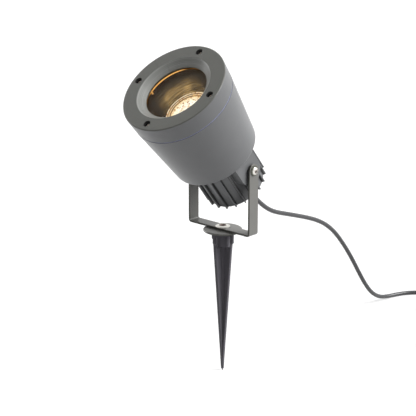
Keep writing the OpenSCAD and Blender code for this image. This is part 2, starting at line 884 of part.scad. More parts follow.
// Gland body: hexagon outside the drum, threaded neck through its wall
module gland_body() {
  color("#3a3b3d") gland_place() difference() {
    union() {
      rod(gland_hex_r, -gland_out, gland_hex_t - gland_out, 6);
      rod(gland_r, gland_hex_t - gland_out - screw_gap, drum_floor + gland_in, 64);
    }
    rod(cable_d / 2 + screw_gap, -gland_out - overrun, drum_floor + gland_in + overrun);
  }
}

// Lock nut inside the drum
module gland_nut() {
  color("#3a3b3d") gland_place() difference() {
    rod(gland_hex_r, drum_floor, drum_floor + gland_nut_t, 6);
    rod(gland_r + screw_gap, drum_floor - overrun, drum_floor + gland_nut_t + overrun, 64);
  }
}

// Rubber washer between the gland's hexagon and the drum
module gland_seal() {
  color("#222222") gland_place()
    collar(gland_r + screw_gap, gland_hex_r - seat_gap * 2, -rear_reach - gland_seal_t, -rear_reach, 64);
}

// Tapered rubber bend relief with ring grooves
module cable_boot() {
  taper = (boot_root_r - boot_tip_r) / boot_len;
  pitch = boot_len / (boot_grooves + 1);
  color("#2b2b2d") gland_place() difference() {
    translate([0, 0, -cable_out]) cylinder(r1 = boot_tip_r, r2 = boot_root_r, h = boot_len, $fn = 64);
    rod(cable_d / 2 + screw_gap, -cable_out - overrun, -gland_out + overrun);
    for (i = [1:boot_grooves]) {
      groove_z = -cable_out + i * pitch;
      groove_r = boot_tip_r + taper * i * pitch - boot_groove_d;
      collar(groove_r, boot_root_r + overrun, groove_z - boot_groove_w / 2, groove_z + boot_groove_w / 2, 64);
    }
  }
}

// Stretch of cable that the gland and the bend relief hold
module cable_end() {
  color("#8b8c8c") gland_place() rod(cable_d / 2, -cable_out, -cable_in, 32);
}

// Pivot screws through the yoke's arms into the side pads
module pivot_screws() {
  seat = arm_out + pivot_washer_t;
  color("#d2d2cf") head_place() at_pivots() {
    translate([0, 0, seat]) dome_head(pivot_head_r, pivot_head_t, pivot_head_r);
    rod(pivot_screw_r, pad_reach - pivot_screw_depth, seat);
  }
}

// Lock washers under the pivot screws' heads
module pivot_washers() {
  color("#55564f") head_place() at_pivots()
    collar(pivot_screw_r + screw_gap, pivot_washer_r, arm_out, arm_out + pivot_washer_t, 48);
}

// Spacers between the side pads and the yoke's arms
module pivot_spacers() {
  color("#2b2b2d") head_place() at_pivots()
    collar(pivot_screw_r + screw_gap, spacer_r, pad_reach, arm_in, 48);
}

// Free stretch of cable from the bend relief to the coil
module lead() {
  color("#8b8c8c") tube(smooth_route(LEAD_ROUTE, 2), cable_d / 2, 10, [0, 0, 1]);
}

// Point of the coil after a number of turns: it winds in on the floor layer and out again on top
function coil_point(s) =
  let(
    half = coil_turns / 2,
    r = coil_r - turn_pitch * min(s, coil_turns - s),
    climb = min(max((s - half) * 2 + 1 / 2, 0), 1),
    a = 90 - turn * s
  )
  [coil_x + r * cos(a), coil_y + r * sin(a), coil_z + turn_pitch * climb * climb * (3 - 2 * climb)];

coil_steps = coil_turns * rings_per_turn;
coil_line = concat(
  [coil_point(0) - [cable_d, 0, 0]],
  [for (i = [0:coil_steps]) coil_point(i / rings_per_turn)],
  [coil_point(coil_turns) - [0, cable_d, 0]]
);

// Least distance between turns of the coil, surface to surface
near_steps = rings_per_turn / 2;
coil_gap = min([
  for (i = [0:len(coil_line) - 1], j = [i + near_steps:len(coil_line) - 1])
    norm(coil_line[i] - coil_line[j])
]) - cable_d;

// Stored length of the cable, wound in two layers as one unbroken tube
module cord_coil() {
  echo(str("Least gap of the coil to itself: ", coil_gap, " mm"));
  color("#8b8c8c") tube(coil_line, cable_d / 2, coil_sides, [0, 0, 1]);
}

// Flat band that ties the coil's turns together
module coil_tie() {
  steps_in = [for (k = [0:coil_turns - 1]) min(tie_turn + k, coil_turns - tie_turn - k)];
  inner = coil_r - turn_pitch * max(steps_in) - cable_d / 2 - seat_gap;
  outer = coil_r - turn_pitch * min(steps_in) + cable_d / 2 + seat_gap;
  height = turn_pitch + cable_d + 2 * tie_gap;
  color("#232323") translate([coil_x, coil_y, floor_z]) rotate([0, 0, 90 - turn * tie_turn]) difference() {
    translate([inner - tie_t, -tie_w / 2, 0])
      cube([outer - inner + 2 * tie_t, tie_w, height + 2 * tie_t]);
    translate([inner, -tie_w / 2 - overrun, tie_t])
      cube([outer - inner, tie_w + 2 * overrun, height]);
  }
}

// Short stretch of cable from the coil to the plug
module plug_tail() {
  color("#8b8c8c") tube(smooth_route(TAIL_ROUTE, 2), cable_d / 2, 10, [0, 0, 1]);
}

// Plug frame: its Z runs from the cable's end of the plug to its contacts
module plug_place() {
  translate([plug_x, plug_y, plug_z]) rotate([90, 0, 0]) children();
}

// Moulded two-pole low-voltage plug: bend relief, ribbed grip and round spigot
module plug_body() {
  grip_end = sleeve_len + grip_len;
  spigot_from = grip_end + plug_seal_t;
  rib_pitch = grip_len / (grip_ribs + 1);
  color("#2b2b2d") plug_place() difference() {
    union() {
      cylinder(r1 = sleeve_tip_r, r2 = sleeve_root_r, h = sleeve_len, $fn = 64);
      rotate_extrude($fn = 96)
        polygon(concat(
          [[0, sleeve_len]],
          arc([grip_r - grip_round, sleeve_len + grip_round], grip_round, -90, 0),
          arc([grip_r - grip_round, grip_end - grip_round], grip_round, 0, 90),
          [[0, grip_end]]
        ));
      rod(spigot_r - plug_neck, grip_end - overrun, spigot_from, 64);
      rod(spigot_r, spigot_from, spigot_from + spigot_len, 64);
    }
    for (i = [1:grip_ribs])
      collar(grip_r - plug_neck * 2, grip_r + overrun, sleeve_len + i * rib_pitch - grip_rib_w / 2,
        sleeve_len + i * rib_pitch + grip_rib_w / 2, 96);
  }
}

// Contact pins of the plug
module plug_pins() {
  from = sleeve_len + grip_len + plug_seal_t + spigot_len;
  color("#c9a94f") plug_place()
    for (side = [-1, 1]) translate([side * contact_x, 0, 0]) rod(contact_r, from, from + contact_len, 24);
}

// Seal ring on the plug's shoulder
module plug_seal() {
  from = sleeve_len + grip_len;
  color("#7d2f2f") plug_place()
    collar(spigot_r - plug_neck + screw_gap, grip_r - grip_round, from, from + plug_seal_t, 64);
}

spike();
spike_insert();
seat_disc();
base_washer();
base_screw();
yoke();
housing();
seam_seal();
front_ring();
ring_screws();
glass();
glass_seals();
glare_tube();
lamp_body();
lamp_bezel();
lamp_lens();
lamp_pins();
lamp_holder();
holder_screws();
holder_bracket();
bracket_screws();
terminal_block();
terminal_screws();
block_screw();
holder_leads();
supply_cores();
gland_body();
gland_nut();
gland_seal();
cable_boot();
cable_end();
pivot_screws();
pivot_washers();
pivot_spacers();
lead();
cord_coil();
coil_tie();
plug_tail();
plug_body();
plug_pins();
plug_seal();
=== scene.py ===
# Garden spike spotlight: a cast head that tilts in a steel yoke, which swivels on a ground spike.
# Pieces are drawn in millimetres and set in place in metres, in the order the light is put together.
from math import asin, cos, pi, radians, sin

import bmesh
import bpy
from mathutils import Matrix, Vector


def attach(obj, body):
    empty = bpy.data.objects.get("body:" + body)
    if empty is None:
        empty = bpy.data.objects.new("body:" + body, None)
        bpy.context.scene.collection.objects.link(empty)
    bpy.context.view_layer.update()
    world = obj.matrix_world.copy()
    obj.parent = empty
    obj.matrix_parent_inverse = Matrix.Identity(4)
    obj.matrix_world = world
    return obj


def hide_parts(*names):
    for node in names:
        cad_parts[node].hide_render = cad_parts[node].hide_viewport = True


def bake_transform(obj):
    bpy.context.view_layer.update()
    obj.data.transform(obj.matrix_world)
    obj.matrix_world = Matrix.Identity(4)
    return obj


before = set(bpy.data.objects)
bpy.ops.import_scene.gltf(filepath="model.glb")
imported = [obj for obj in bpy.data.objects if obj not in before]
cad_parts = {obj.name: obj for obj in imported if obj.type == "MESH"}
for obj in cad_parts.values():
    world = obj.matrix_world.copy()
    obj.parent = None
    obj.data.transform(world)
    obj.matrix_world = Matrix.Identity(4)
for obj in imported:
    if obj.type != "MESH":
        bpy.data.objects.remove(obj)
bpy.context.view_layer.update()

# Camera
# A long lens from the front right and a little above the light, at the photograph's angle.
# The right yoke arm is the near one, and the whole spike stands in the picture.
film_w = 36
focal_length = 129.8
eye_place = (0.9630, -1.0824, 0.4564)
azimuth = 42.25
elevation = 16.63


def placed(name, data):
    """An object in the scene, made from a mesh, a camera or a light."""
    made = bpy.data.objects.new(name, data)
    bpy.context.scene.collection.objects.link(made)
    return made


camera = bpy.data.cameras.new("camera")
camera.sensor_width = film_w
camera.lens = focal_length
eye = placed("eye", camera)
eye.location = eye_place
eye.rotation_euler = (radians(90 - elevation), 0, radians(azimuth))
bpy.context.scene.camera = eye

# Supply cable
# Round two-core PVC cable, 4.8 mm thick, extruded in one length. It leaves the head through the bend
# relief, hangs in a low hump down to the floor, and the rest is wound into a coil of two layers.
mm = 0.001
turn = 2 * pi
cable_d = 4.8 * mm
LEAD_ROUTE = [
    (0, 0.0425, 0.032), (0, 0.055, 0.0185), (0, 0.075, 0.0035), (0, 0.098, -0.004), (0, 0.122, -0.012),
    (0, 0.145, -0.020), (0, 0.167, -0.030), (0, 0.186, -0.044), (0, 0.202, -0.0615), (0, 0.217, -0.080),
    (0, 0.231, -0.100), (0, 0.245, -0.120), (0, 0.261, -0.138), (0, 0.281, -0.1485),
    (0.002, 0.304, -0.150), (0.012, 0.325, -0.150), (0.032, 0.338, -0.150), (0.054, 0.342, -0.1495),
    (0.075, 0.342, -0.1491), (0.081, 0.342, -0.1491),
]
TAIL_ROUTE = [
    (0.122, 0.301, -0.1438), (0.122, 0.295, -0.1438), (0.122, 0.286, -0.1452), (0.122, 0.275, -0.1474),
    (0.122, 0.265, -0.1464), (0.122, 0.257, -0.1444), (0.122, 0.2522, -0.1444),
]
route_steps = 8
coil_middle = (0.086, 0.306, -0.1491)
coil_r = 0.036
coil_turns = 6.25
turn_steps = 48
turn_pitch = cable_d + 0.5 * mm


def smooth_route(points):
    """A cubic B-spline that follows a route, from its first point to its last."""
    knots = [Vector(p) for p in points]
    knots = [2 * knots[0] - knots[1], *knots, 2 * knots[-1] - knots[-2]]
    line = []
    for a, b, c, d in zip(knots, knots[1:], knots[2:], knots[3:]):
        for k in range(route_steps):
            t = k / route_steps
            ahead = (1 - t) ** 3 * a + (3 * t**3 - 6 * t * t + 4) * b
            line.append((ahead + (1 + 3 * t + 3 * t * t - 3 * t**3) * c + t**3 * d) / 6)
    return line + [Vector(points[-1])]


def coil_point(s):
    """The coil's line after s turns: inwards on the floor, up, and outwards again on top."""
    r = coil_r - turn_pitch * min(s, coil_turns - s)
    climb = min(max((s - coil_turns / 2) * 2 + 0.5, 0), 1)
    a = turn / 4 - turn * s
    x, y, z = coil_middle
    return Vector((x + r * cos(a), y + r * sin(a), z + turn_pitch * climb * climb * (3 - 2 * climb)))


def tube(points, d, name):
    """A round tube along a line, closed at both ends."""
    line = bpy.data.curves.new(name, "CURVE")
    line.dimensions = "3D"
    line.bevel_depth = d / 2
    line.bevel_resolution = 6
    line.use_fill_caps = True
    spline = line.splines.new("POLY")
    spline.points.add(len(points) - 1)
    for knot, point in zip(spline.points, points):
        knot.co = (*point, 1)
    drawn = bpy.data.objects.new(name, line)
    mesh = bpy.data.meshes.new_from_object(drawn)
    bpy.data.objects.remove(drawn)
    bpy.data.curves.remove(line)
    mesh.name = name
    mesh.shade_smooth()
    return placed(name, mesh)


def linear(code):
    """An sRGB hex value as linear red, green, blue and alpha."""
    parts = [int(code[i:i + 2], 16) / 255 for i in (0, 2, 4)]
    return [p / 12.92 if p <= 0.04045 else ((p + 0.055) / 1.055) ** 2.4 for p in parts] + [1]


def new_material(name):
    """An empty material with nodes."""
    made = bpy.data.materials.new(name)
    made.use_nodes = True
    made.node_tree.nodes.clear()
    return made


def add_node(material, kind, sockets=(), **settings):
    """Adds a node. sockets gives its inputs by name or number: a value, an output or a node for its first."""
    made = material.node_tree.nodes.new("ShaderNode" + kind)
    for name, value in settings.items():
        setattr(made, name, value)
    for key, value in dict(sockets).items():
        if isinstance(value, bpy.types.Node):
            value = value.outputs[0]
        if isinstance(value, bpy.types.NodeSocket):
            material.node_tree.links.new(value, made.inputs[key])
        else:
            made.inputs[key].default_value = value
    return made


def surface(name, dark, light, cloud_mm, detail, look, dull=None, grain=None):
    """A finish that clouds between two colours. look gives the shader's values, dull a range of roughness
    over the same clouds, and grain a fine relief: its size and depth in mm, its detail and its strength."""
    made = new_material(name)
    place = add_node(made, "TexCoord").outputs["Object"]
    cloud = add_node(made, "TexNoise", {"Vector": place, "Scale": 1 / (cloud_mm * mm), "Detail": detail})
    tone = add_node(made, "Mix", {0: cloud, 6: linear(dark), 7: linear(light)}, data_type="RGBA")
    look = {"Base Color": tone.outputs[2], **look}
    if dull:
        look["Roughness"] = add_node(made, "MapRange", {"Value": cloud, "To Min": dull[0], "To Max": dull[1]})
    if grain:
        size, depth, fine, strength = grain
        speck = add_node(made, "TexNoise", {"Vector": place, "Scale": 1 / (size * mm), "Detail": fine})
        look["Normal"] = add_node(made, "Bump",
                                  {"Strength": strength, "Distance": depth * mm, "Height": speck})
    skin = add_node(made, "BsdfPrincipled", look)
    add_node(made, "OutputMaterial", {"Surface": skin})
    return made


# PVC jacket, extruded: dark slate grey and glossy, with faint cloudy marks from the die.
jacket = surface("extruded_pvc", "3c3c3e", "49494b", 9, 5, {"IOR": 1.5}, (0.2, 0.3), (0.5, 0.1, 2, 0.12))

coil_line = [coil_point(i / turn_steps) for i in range(1, int(coil_turns * turn_steps))]
cable_line = smooth_route(LEAD_ROUTE) + coil_line + smooth_route(TAIL_ROUTE)
cable = tube(cable_line, cable_d, "supply_cable")
cable.data.materials.append(jacket)
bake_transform(cable)
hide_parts("lead", "cord_coil", "plug_tail")

# Coil tie
# A flat nylon band round the coil's turns, with rounded corners, pulled through a small moulded buckle.
# It is drawn as an upright loop across the turns, and stands on the floor with them.
floor_z = -0.1524
tie_turn = 0.75
tie_w = 6
tie_t = 0.8
tie_in = 18.625
tie_out = 36.15
tie_middle = (tie_in + tie_out) / 2
tie_height = 10.3
tie_bend = 2.2
buckle = (5.2, 7.4, 2.6)
tail_len = 8
tail_w = tie_w * 0.9
tail_shift = 6
tail_z = 2.4 * tie_t + tie_height + 1


def picked(geom, kind=bmesh.types.BMVert):
    """The vertices, or the edges, among what an operator gives back."""
    return [g for g in geom if isinstance(g, kind)]


def moved(bm, vec=(0, 0, 0), angle=0, axis="Z"):
    """Turns a shape about an axis through the origin, in degrees, and then shifts it."""
    bmesh.ops.rotate(bm, matrix=Matrix.Rotation(radians(angle), 3, axis), verts=bm.verts)
    bmesh.ops.translate(bm, vec=vec, verts=bm.verts)
    return bm


def softened(bm, width, segments=3, angle=30):
    """Rounds every edge whose faces meet at more than an angle in degrees."""
    sharp = [e for e in bm.edges if len(e.link_faces) == 2 and e.calc_face_angle() > radians(angle)]
    bmesh.ops.bevel(bm, geom=sharp, offset=width, segments=segments, profile=0.5, affect="EDGES",
                    offset_type="OFFSET", clamp_overlap=True, material=-1)
    return bm


def block(size, middle=(0, 0, 0)):
    """A rectangular block."""
    bm = bmesh.new()
    bmesh.ops.create_cube(bm, size=1)
    bmesh.ops.scale(bm, vec=size, verts=bm.verts)
    bmesh.ops.translate(bm, vec=middle, verts=bm.verts)
    return bm


def as_mesh(bm, name="blank"):
    """A mesh made of a shape, which is used up."""
    mesh = bpy.data.meshes.new(name)
    bm.to_mesh(mesh)
    bm.free()
    return mesh


def together(parts):
    """Several separate solids as one shape."""
    bm = bmesh.new()
    for part in parts:
        mesh = as_mesh(part)
        bm.from_mesh(mesh)
        bpy.data.meshes.remove(mesh)
    return bm


def combined(body, tool, how):
    """One closed solid with another added to it (UNION) or cut from it (DIFFERENCE)."""
    pair = [placed("blank", as_mesh(part)) for part in (body, tool)]
    step = pair[0].modifiers.new("step", "BOOLEAN")
    step.operation = how
    step.solver = "EXACT"
    step.object = pair[1]
    made = bmesh.new()
    made.from_object(pair[0], bpy.context.evaluated_depsgraph_get())
    for blank in pair:
        mesh = blank.data
        bpy.data.objects.remove(blank)
        bpy.data.meshes.remove(mesh)
    return made


def set_in(bm, name, body, node, material, where=Matrix(), shaded_finish=None):
    """Sets a piece drawn in millimetres in its place, where it rides on its body and stands for a node. A
    second finish gives painted shade where faces are marked for it.
    """
    bm.transform(where @ Matrix.Scale(mm, 4))
    mesh = as_mesh(bm, name)
    mesh.shade_smooth()
    mesh.set_sharp_from_angle(angle=radians(35))
    mesh.materials.append(material)
    if shaded_finish:
        mesh.materials.append(shaded_finish)
    made = placed(name, mesh)
    made.modifiers.new("even_normals", "WEIGHTED_NORMAL").keep_sharp = True
    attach(made, body)
    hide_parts(node)
    return made


# Nylon, moulded: near black, with a low even gloss and fine flow marks.
nylon = surface("moulded_nylon", "222326", "2f3033", 3, 3, {"Roughness": 0.42, "IOR": 1.53},
               grain=(0.3, 0.05, 2, 0.2))

bm = bmesh.new()
bmesh.ops.create_grid(bm, x_segments=1, y_segments=1, size=0.5)
bmesh.ops.scale(bm, vec=(tie_out - tie_in, tie_height, 1), verts=bm.verts)
bmesh.ops.bevel(bm, geom=bm.verts[:], offset=tie_bend, segments=6, profile=0.5, affect="VERTICES",
                material=-1)
bmesh.ops.delete(bm, geom=bm.faces[:], context="FACES_ONLY")
out = bmesh.ops.extrude_edge_only(bm, edges=bm.edges[:])
bmesh.ops.translate(bm, verts=picked(out["geom"]), vec=(0, 0, tie_w))
bmesh.ops.recalc_face_normals(bm, faces=bm.faces)
bmesh.ops.solidify(bm, geom=bm.faces[:], thickness=-tie_t)
bmesh.ops.recalc_face_normals(bm, faces=bm.faces)
softened(bm, 0.2, 2, 60)
moved(bm, (tie_middle, tie_w / 2, tie_t + tie_height / 2), 90, "X")
lock = softened(block(buckle, (tie_middle, 0, 2 * tie_t + tie_height + buckle[2] / 2)), 0.5)
tail = softened(block((tail_len, tail_w, tie_t), (tie_middle + tail_shift, 0, tail_z)), 0.25, 2)
bm = together([bm, combined(lock, tail, "UNION")])
tie_place = (Matrix.Translation((coil_middle[0], coil_middle[1], floor_z))
             @ Matrix.Rotation(turn / 4 - turn * tie_turn, 4, "Z"))
tie = set_in(bm, "coil_band", "yoke", "coil_tie", nylon, tie_place)

# Plug
# A two-pole low-voltage plug, moulded in soft rubber over its brass contacts: a slotted bend relief,
# a ribbed grip and a round spigot. A silicone ring seals its shoulder in the socket.
sleeve_len = 22
sleeve_tip_r = 3.6
sleeve_root_r = 6
sleeve_slots = 5
slot_pitch = 3.4
grip_len = 22
grip_r = 8
grip_slots = 5
grip_pitch = 3.6
grip_round = 1.5
spigot_r = 5.5
spigot_len = 8.8
shoulder_t = 1.2
shoulder_ring = (5.25, 6.5)
contact_r = 1
contact_len = 8
contact_x = 2.6
plug_start = (0.122, 0.252, -0.1444)


def turned(outline, steps=96):
    """An outline of radius and height, turned round Z. It closes on itself, or ends on the axis."""
    bm = bmesh.new()
    points = [bm.verts.new((r, 0, z)) for r, z in outline]
    pairs = list(zip(points, points[1:]))
    if outline[0][0] > 0:
        pairs.append((points[-1], points[0]))
    for pair in pairs:
        bm.edges.new(pair)
    bmesh.ops.spin(bm, geom=bm.verts[:] + bm.edges[:], cent=(0, 0, 0), axis=(0, 0, 1), angle=turn,
                   steps=steps, use_merge=True, use_duplicate=False)
    bmesh.ops.remove_doubles(bm, verts=bm.verts, dist=0.0005)
    bmesh.ops.dissolve_degenerate(bm, edges=bm.edges, dist=0.0005)
    bmesh.ops.recalc_face_normals(bm, faces=bm.faces)
    return bm


def rod(r, low, high, steps=48, bore=0):
    """A round bar between two heights, or a ring when it has a bore."""
    return turned([(bore, low), (r, low), (r, high), (bore, high)], steps)


# Soft rubber, moulded: black, dull, with a slightly open skin.
rubber = surface("moulded_rubber", "1d1d1f", "2b2b2d", 5, 4, {"Roughness": 0.62, "IOR": 1.5},
                grain=(0.4, 0.06, 3, 0.3))

# Brass, turned: warm yellow metal, a little dulled by handling.
brass = surface("turned_brass", "b8934a", "d9b768", 2, 3, {"Metallic": 1.0}, (0.22, 0.4))

# Silicone, moulded and translucent: amber, and soft at its edges where light gets through it.
amber = surface("amber_silicone", "c77f2e", "e0a04a", 4, 2,
               {"Roughness": 0.4, "IOR": 1.41, "Subsurface Weight": 0.6, "Subsurface Scale": 2 * mm})

plug_place = Matrix.Translation(plug_start) @ Matrix.Rotation(pi / 2, 4, "X")
grip_end = sleeve_len + grip_len
spigot_from = grip_end + shoulder_t
spigot_end = spigot_from + spigot_len
sleeve = [(0, 0), (sleeve_tip_r, 0)]
for i in range(sleeve_slots):
    z = 3 + i * slot_pitch
    r = sleeve_tip_r + (sleeve_root_r - sleeve_tip_r) * z / sleeve_len
    sleeve += [(r, z), (r - 1, z + 0.3), (r - 1, z + 1.3), (r + 0.15, z + 1.6)]
sleeve += [(sleeve_root_r, sleeve_len)]
grip = [(grip_r - grip_round, sleeve_len), (grip_r, sleeve_len + grip_round)]
for i in range(grip_slots):
    z = sleeve_len + 3 + i * grip_pitch
    grip += [(grip_r, z), (grip_r - 0.6, z + 0.4), (grip_r - 0.6, z + 1.2), (grip_r, z + 1.6)]
grip += [(grip_r, grip_end - grip_round), (grip_r - grip_round, grip_end)]
spigot = [(spigot_r - 0.3, grip_end), (spigot_r - 0.3, spigot_from), (spigot_r, spigot_from + 0.4),
          (spigot_r, spigot_end - 0.6), (spigot_r - 0.6, spigot_end), (0, spigot_end)]
bm = softened(turned(sleeve + grip + spigot, 64), 0.25, 2, 25)
plug = set_in(bm, "plug_moulding", "yoke", "plug_body", rubber, plug_place)
bm = together(moved(softened(rod(contact_r, spigot_end, spigot_end + contact_len, 32), 0.45, 4),
                    (side * contact_x, 0, 0)) for side in (-1, 1))
pins = set_in(bm, "plug_contacts", "yoke", "plug_pins", brass, plug_place)
bm = softened(rod(shoulder_ring[1], grip_end, spigot_from, 64, shoulder_ring[0]), 0.3)
seal = set_in(bm, "plug_ring", "yoke", "plug_seal", amber, plug_place)

# Spike
# Moulded in one piece in a tough dark plastic: a round flange and collar on top of four tapering ribs.
# A short prong stands on each rib beside the collar, and a brass thread insert is moulded into the top.
spike_top = 0.6
spike_tip = -152.4
tip_r = 0.3
taper_end = (0.8, spike_tip + 2.4)
rib_r = 12.3
rib_t = 2.6
prong_reach = 13.9
prong_foot = -12.2
prong_w = 2.6
collar_r = 7.4
collar_foot = -16
flange_r = 11.3
flange_low = spike_top - 4.1
core_r = 4.6
core_top = collar_foot + 1
insert_hole_r = 4.65
insert_hole_end = -14.4

# Glass-filled nylon, moulded: dark violet-grey, matt, with a fine spark-eroded grain. The real grain is
# about 0.1 mm, drawn at 0.6 mm so that it shows.
spike_plastic = surface("grained_spike_plastic", "504e54", "5b595f", 14, 3, {"Roughness": 0.8, "IOR": 1.45},
                       grain=(0.6, 0.08, 3, 0.35))


def plate(outline, thickness):
    """A flat outline in X and Z, with its thickness to both sides of Y = 0."""
    bm = bmesh.new()
    face = bm.faces.new([bm.verts.new((x, -thickness / 2, z)) for x, z in outline])
    out = bmesh.ops.extrude_face_region(bm, geom=[face])
    bmesh.ops.translate(bm, vec=(0, thickness, 0), verts=picked(out["geom"]))
    bmesh.ops.recalc_face_normals(bm, faces=bm.faces)
    return bm


def dress(material, *names):
    """Gives the frame's own solids a material."""
    for name in names:
        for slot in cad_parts[name].material_slots:
            slot.material = material


half = [(prong_reach, spike_top), (prong_reach, prong_foot + 1.4), (rib_r, prong_foot), taper_end]
outline = half + [(-x, z) for x, z in reversed(half)]
gap_in = collar_r / 2
gap_out = prong_reach - prong_w
gap_size = (gap_out - gap_in, 2 * rib_t, flange_low - collar_foot)
spike = turned([(0, spike_tip), (tip_r, spike_tip), taper_end, (core_r, core_top), (0, core_top)], 48)
for angle in (0, 90):
    rib = plate(outline, rib_t)
    for side in (-1, 1):
        gap = block(gap_size, (side * (gap_in + gap_out) / 2, 0, (collar_foot + flange_low) / 2))
        rib = combined(rib, gap, "DIFFERENCE")
    spike = combined(spike, moved(rib, angle=angle), "UNION")
collar = turned([(0, collar_foot), (collar_r - 1.7, collar_foot), (collar_r, collar_foot + 2),
                 (collar_r, flange_low), (flange_r, flange_low), (flange_r, spike_top), (0, spike_top)])
spike = combined(spike, collar, "UNION")
spike = combined(spike, rod(insert_hole_r, insert_hole_end, 2), "DIFFERENCE")
softened(spike, 0.4, 3, 35)
set_in(spike, "ground_spike", "stake", "spike", spike_plastic)
dress(brass, "spike_insert", "terminal_screws")

# Seat disc and washer
# The disc is a turned steel plate with a full round edge, coated like the yoke, that seats on the soil.
# A recess under it locates the spike, and a thin nylon washer on top lets the yoke swivel.
disc_r = 19.9
disc_t = 2.2
edge_r = disc_t / 2
recess_r = 14.3
bolt_hole_r = 3.05
washer_r = 6.4
washer_t = 0.3
arc_steps = 8
peel_depth = 0.05


def peel(material, point, grain_mm):
    """A powder coat's pattern, broad clouds mixed with the fine specks of its peel, and the specks alone."""
    cloud = add_node(material, "TexNoise", {"Vector": point, "Scale": 1 / (18 * mm), "Detail": 3.0})
    speck = add_node(material, "TexNoise", {"Vector": point, "Scale": 1 / (grain_mm * mm), "Detail": 4.0})
    return add_node(material, "Mix", {0: 0.35, 2: cloud, 3: speck}), speck


def coated(material, tone, height, rough):
    """Ends a powder coat's material, from its colour, the height of its relief and its roughness."""
    rise = add_node(material, "Bump", {"Strength": 0.5, "Distance": peel_depth * mm, "Height": height})
    skin = add_node(material, "BsdfPrincipled",
                    {"Base Color": tone.outputs[2], "Roughness": rough, "IOR": 1.5, "Normal": rise})
    add_node(material, "OutputMaterial", {"Surface": skin})


def powder_coat(name, dark, light, grain_mm, rough):
    """Powder coat, sprayed and baked: even and satin, with a fine orange-peel texture all over."""
    made = new_material(name)
    mixed, speck = peel(made, add_node(made, "TexCoord").outputs["Object"], grain_mm)
    tone = add_node(made, "Mix", {0: mixed, 6: linear(dark), 7: linear(light)}, data_type="RGBA")
    coated(made, tone, speck, rough)
    return made


# The peel of a powder coat is about 0.4 mm across, drawn at 0.8 mm so that it shows.
yoke_coat = powder_coat("olive_powder_coat", "676663", "73726e", 0.8, 0.34)

# The same coat, darker and duller, on cut edges and undersides: painted shade.
shaded_edge_coat = powder_coat("olive_powder_coat_painted_shade", "35352f", "3e3e38", 0.8, 0.6)


def arc(x, z, r, start, end):
    """Points of a round stretch of an outline, between two angles in degrees."""
    angles = [radians(start + (end - start) * i / arc_steps) for i in range(arc_steps + 1)]
    return [(x + r * cos(a), z + r * sin(a)) for a in angles]


def faced(bm, test):
    """Marks the faces whose outward direction passes a test, which take the piece's second material, a
    painted shade.
    """
    bmesh.ops.recalc_face_normals(bm, faces=bm.faces)
    for f in bm.faces:
        if test(f.normal):
            f.material_index = 1


disc = turned([(bolt_hole_r, spike_top), (recess_r, spike_top), (recess_r, 0)]
              + arc(disc_r - edge_r, edge_r, edge_r, -90, 90) + [(bolt_hole_r, disc_t)], 128)
softened(disc, 0.15, 2, 40)
# The disc's undersides take the darker coat, as painted shade.
faced(disc, lambda n: n.z < -0.1)
set_in(disc, "seat_plate", "stake", "seat_disc", yoke_coat, shaded_finish=shaded_edge_coat)
washer = softened(rod(washer_r, disc_t, disc_t + washer_t, 64, bolt_hole_r), 0.08, 2)
set_in(washer, "swivel_washer", "stake", "base_washer", nylon)

# Base screw
# A stainless steel screw with a low domed head and a cross recess, through the yoke and the disc into
# the spike's insert. It is cold formed, turned bright on the head and passivated.
strip_top = 4.5
base_head_r = 7.5
base_head_t = 1.6
base_head_top = strip_top + base_head_t
shank_r = 3
shank_end = -13.4
dish_r = 3.4
dish_depth = 0.9


def screw_head(r, h, edge, driver_r, depth):
    """A domed head on height zero, with an upright edge and a tapering cross recess for a driver."""
    rise = h - edge
    dome_r = (r * r + rise * rise) / (2 * rise)
    span = asin(r / dome_r)
    dome = [(dome_r * sin(span * i / 10), h - dome_r + dome_r * cos(span * i / 10)) for i in range(10, 0, -1)]
    head = softened(turned([(0, 0), (r, 0)] + dome + [(0, h)], 96), min(edge, 0.3) / 2, 2)
    wings = []
    for angle in (45, 135):
        wing = block((2 * driver_r, driver_r * 0.42, 2 * depth), (0, 0, h))
        bmesh.ops.scale(wing, vec=(0.45, 0.6, 1), verts=[v for v in wing.verts if v.co.z < h])
        wings.append(moved(wing, angle=angle))
    return softened(combined(head, combined(*wings, "UNION"), "DIFFERENCE"), 0.12, 2, 50)


def sunk(bm, r, low, high, middle=(0, 0)):
    """Marks the faces inside a round hollow, which take the piece's second material, a painted shade."""
    for f in bm.faces:
        c = f.calc_center_median()
        if (c.x - middle[0]) ** 2 + (c.y - middle[1]) ** 2 < r * r and low < c.z < high:
            f.material_index = 1


# Stainless steel, turned and passivated: bright and pale, with a soft, slightly warm sheen.
steel = surface("passivated_stainless_steel", "d0ccc4", "eae8e3", 2.5, 4, {"Metallic": 1.0}, (0.24, 0.38))

# The same steel inside a pressed recess, painted dark and brownish as painted shade.
shaded_recess_steel = surface("steel_recess_painted_shade", "2a2320", "6b5348", 1.2, 3, {"Metallic": 0.7, "Roughness": 0.5})

head = moved(screw_head(base_head_r, base_head_t, edge=0.55, driver_r=2.4, depth=1.5), (0, 0, strip_top))
dish = turned([(0, base_head_top - dish_depth), (dish_r - 0.9, base_head_top - dish_depth),
               (dish_r + 0.5, base_head_top + 0.7), (0, base_head_top + 0.7)], 48)
head = combined(combined(head, dish, "DIFFERENCE"), rod(shank_r, shank_end, strip_top + 0.1), "UNION")
# The dish's floor takes the dark steel, as painted shade.
sunk(head, dish_r + 0.3, strip_top, base_head_top - 0.15)
set_in(head, "swivel_screw", "stake", "base_screw", steel, shaded_finish=shaded_recess_steel)

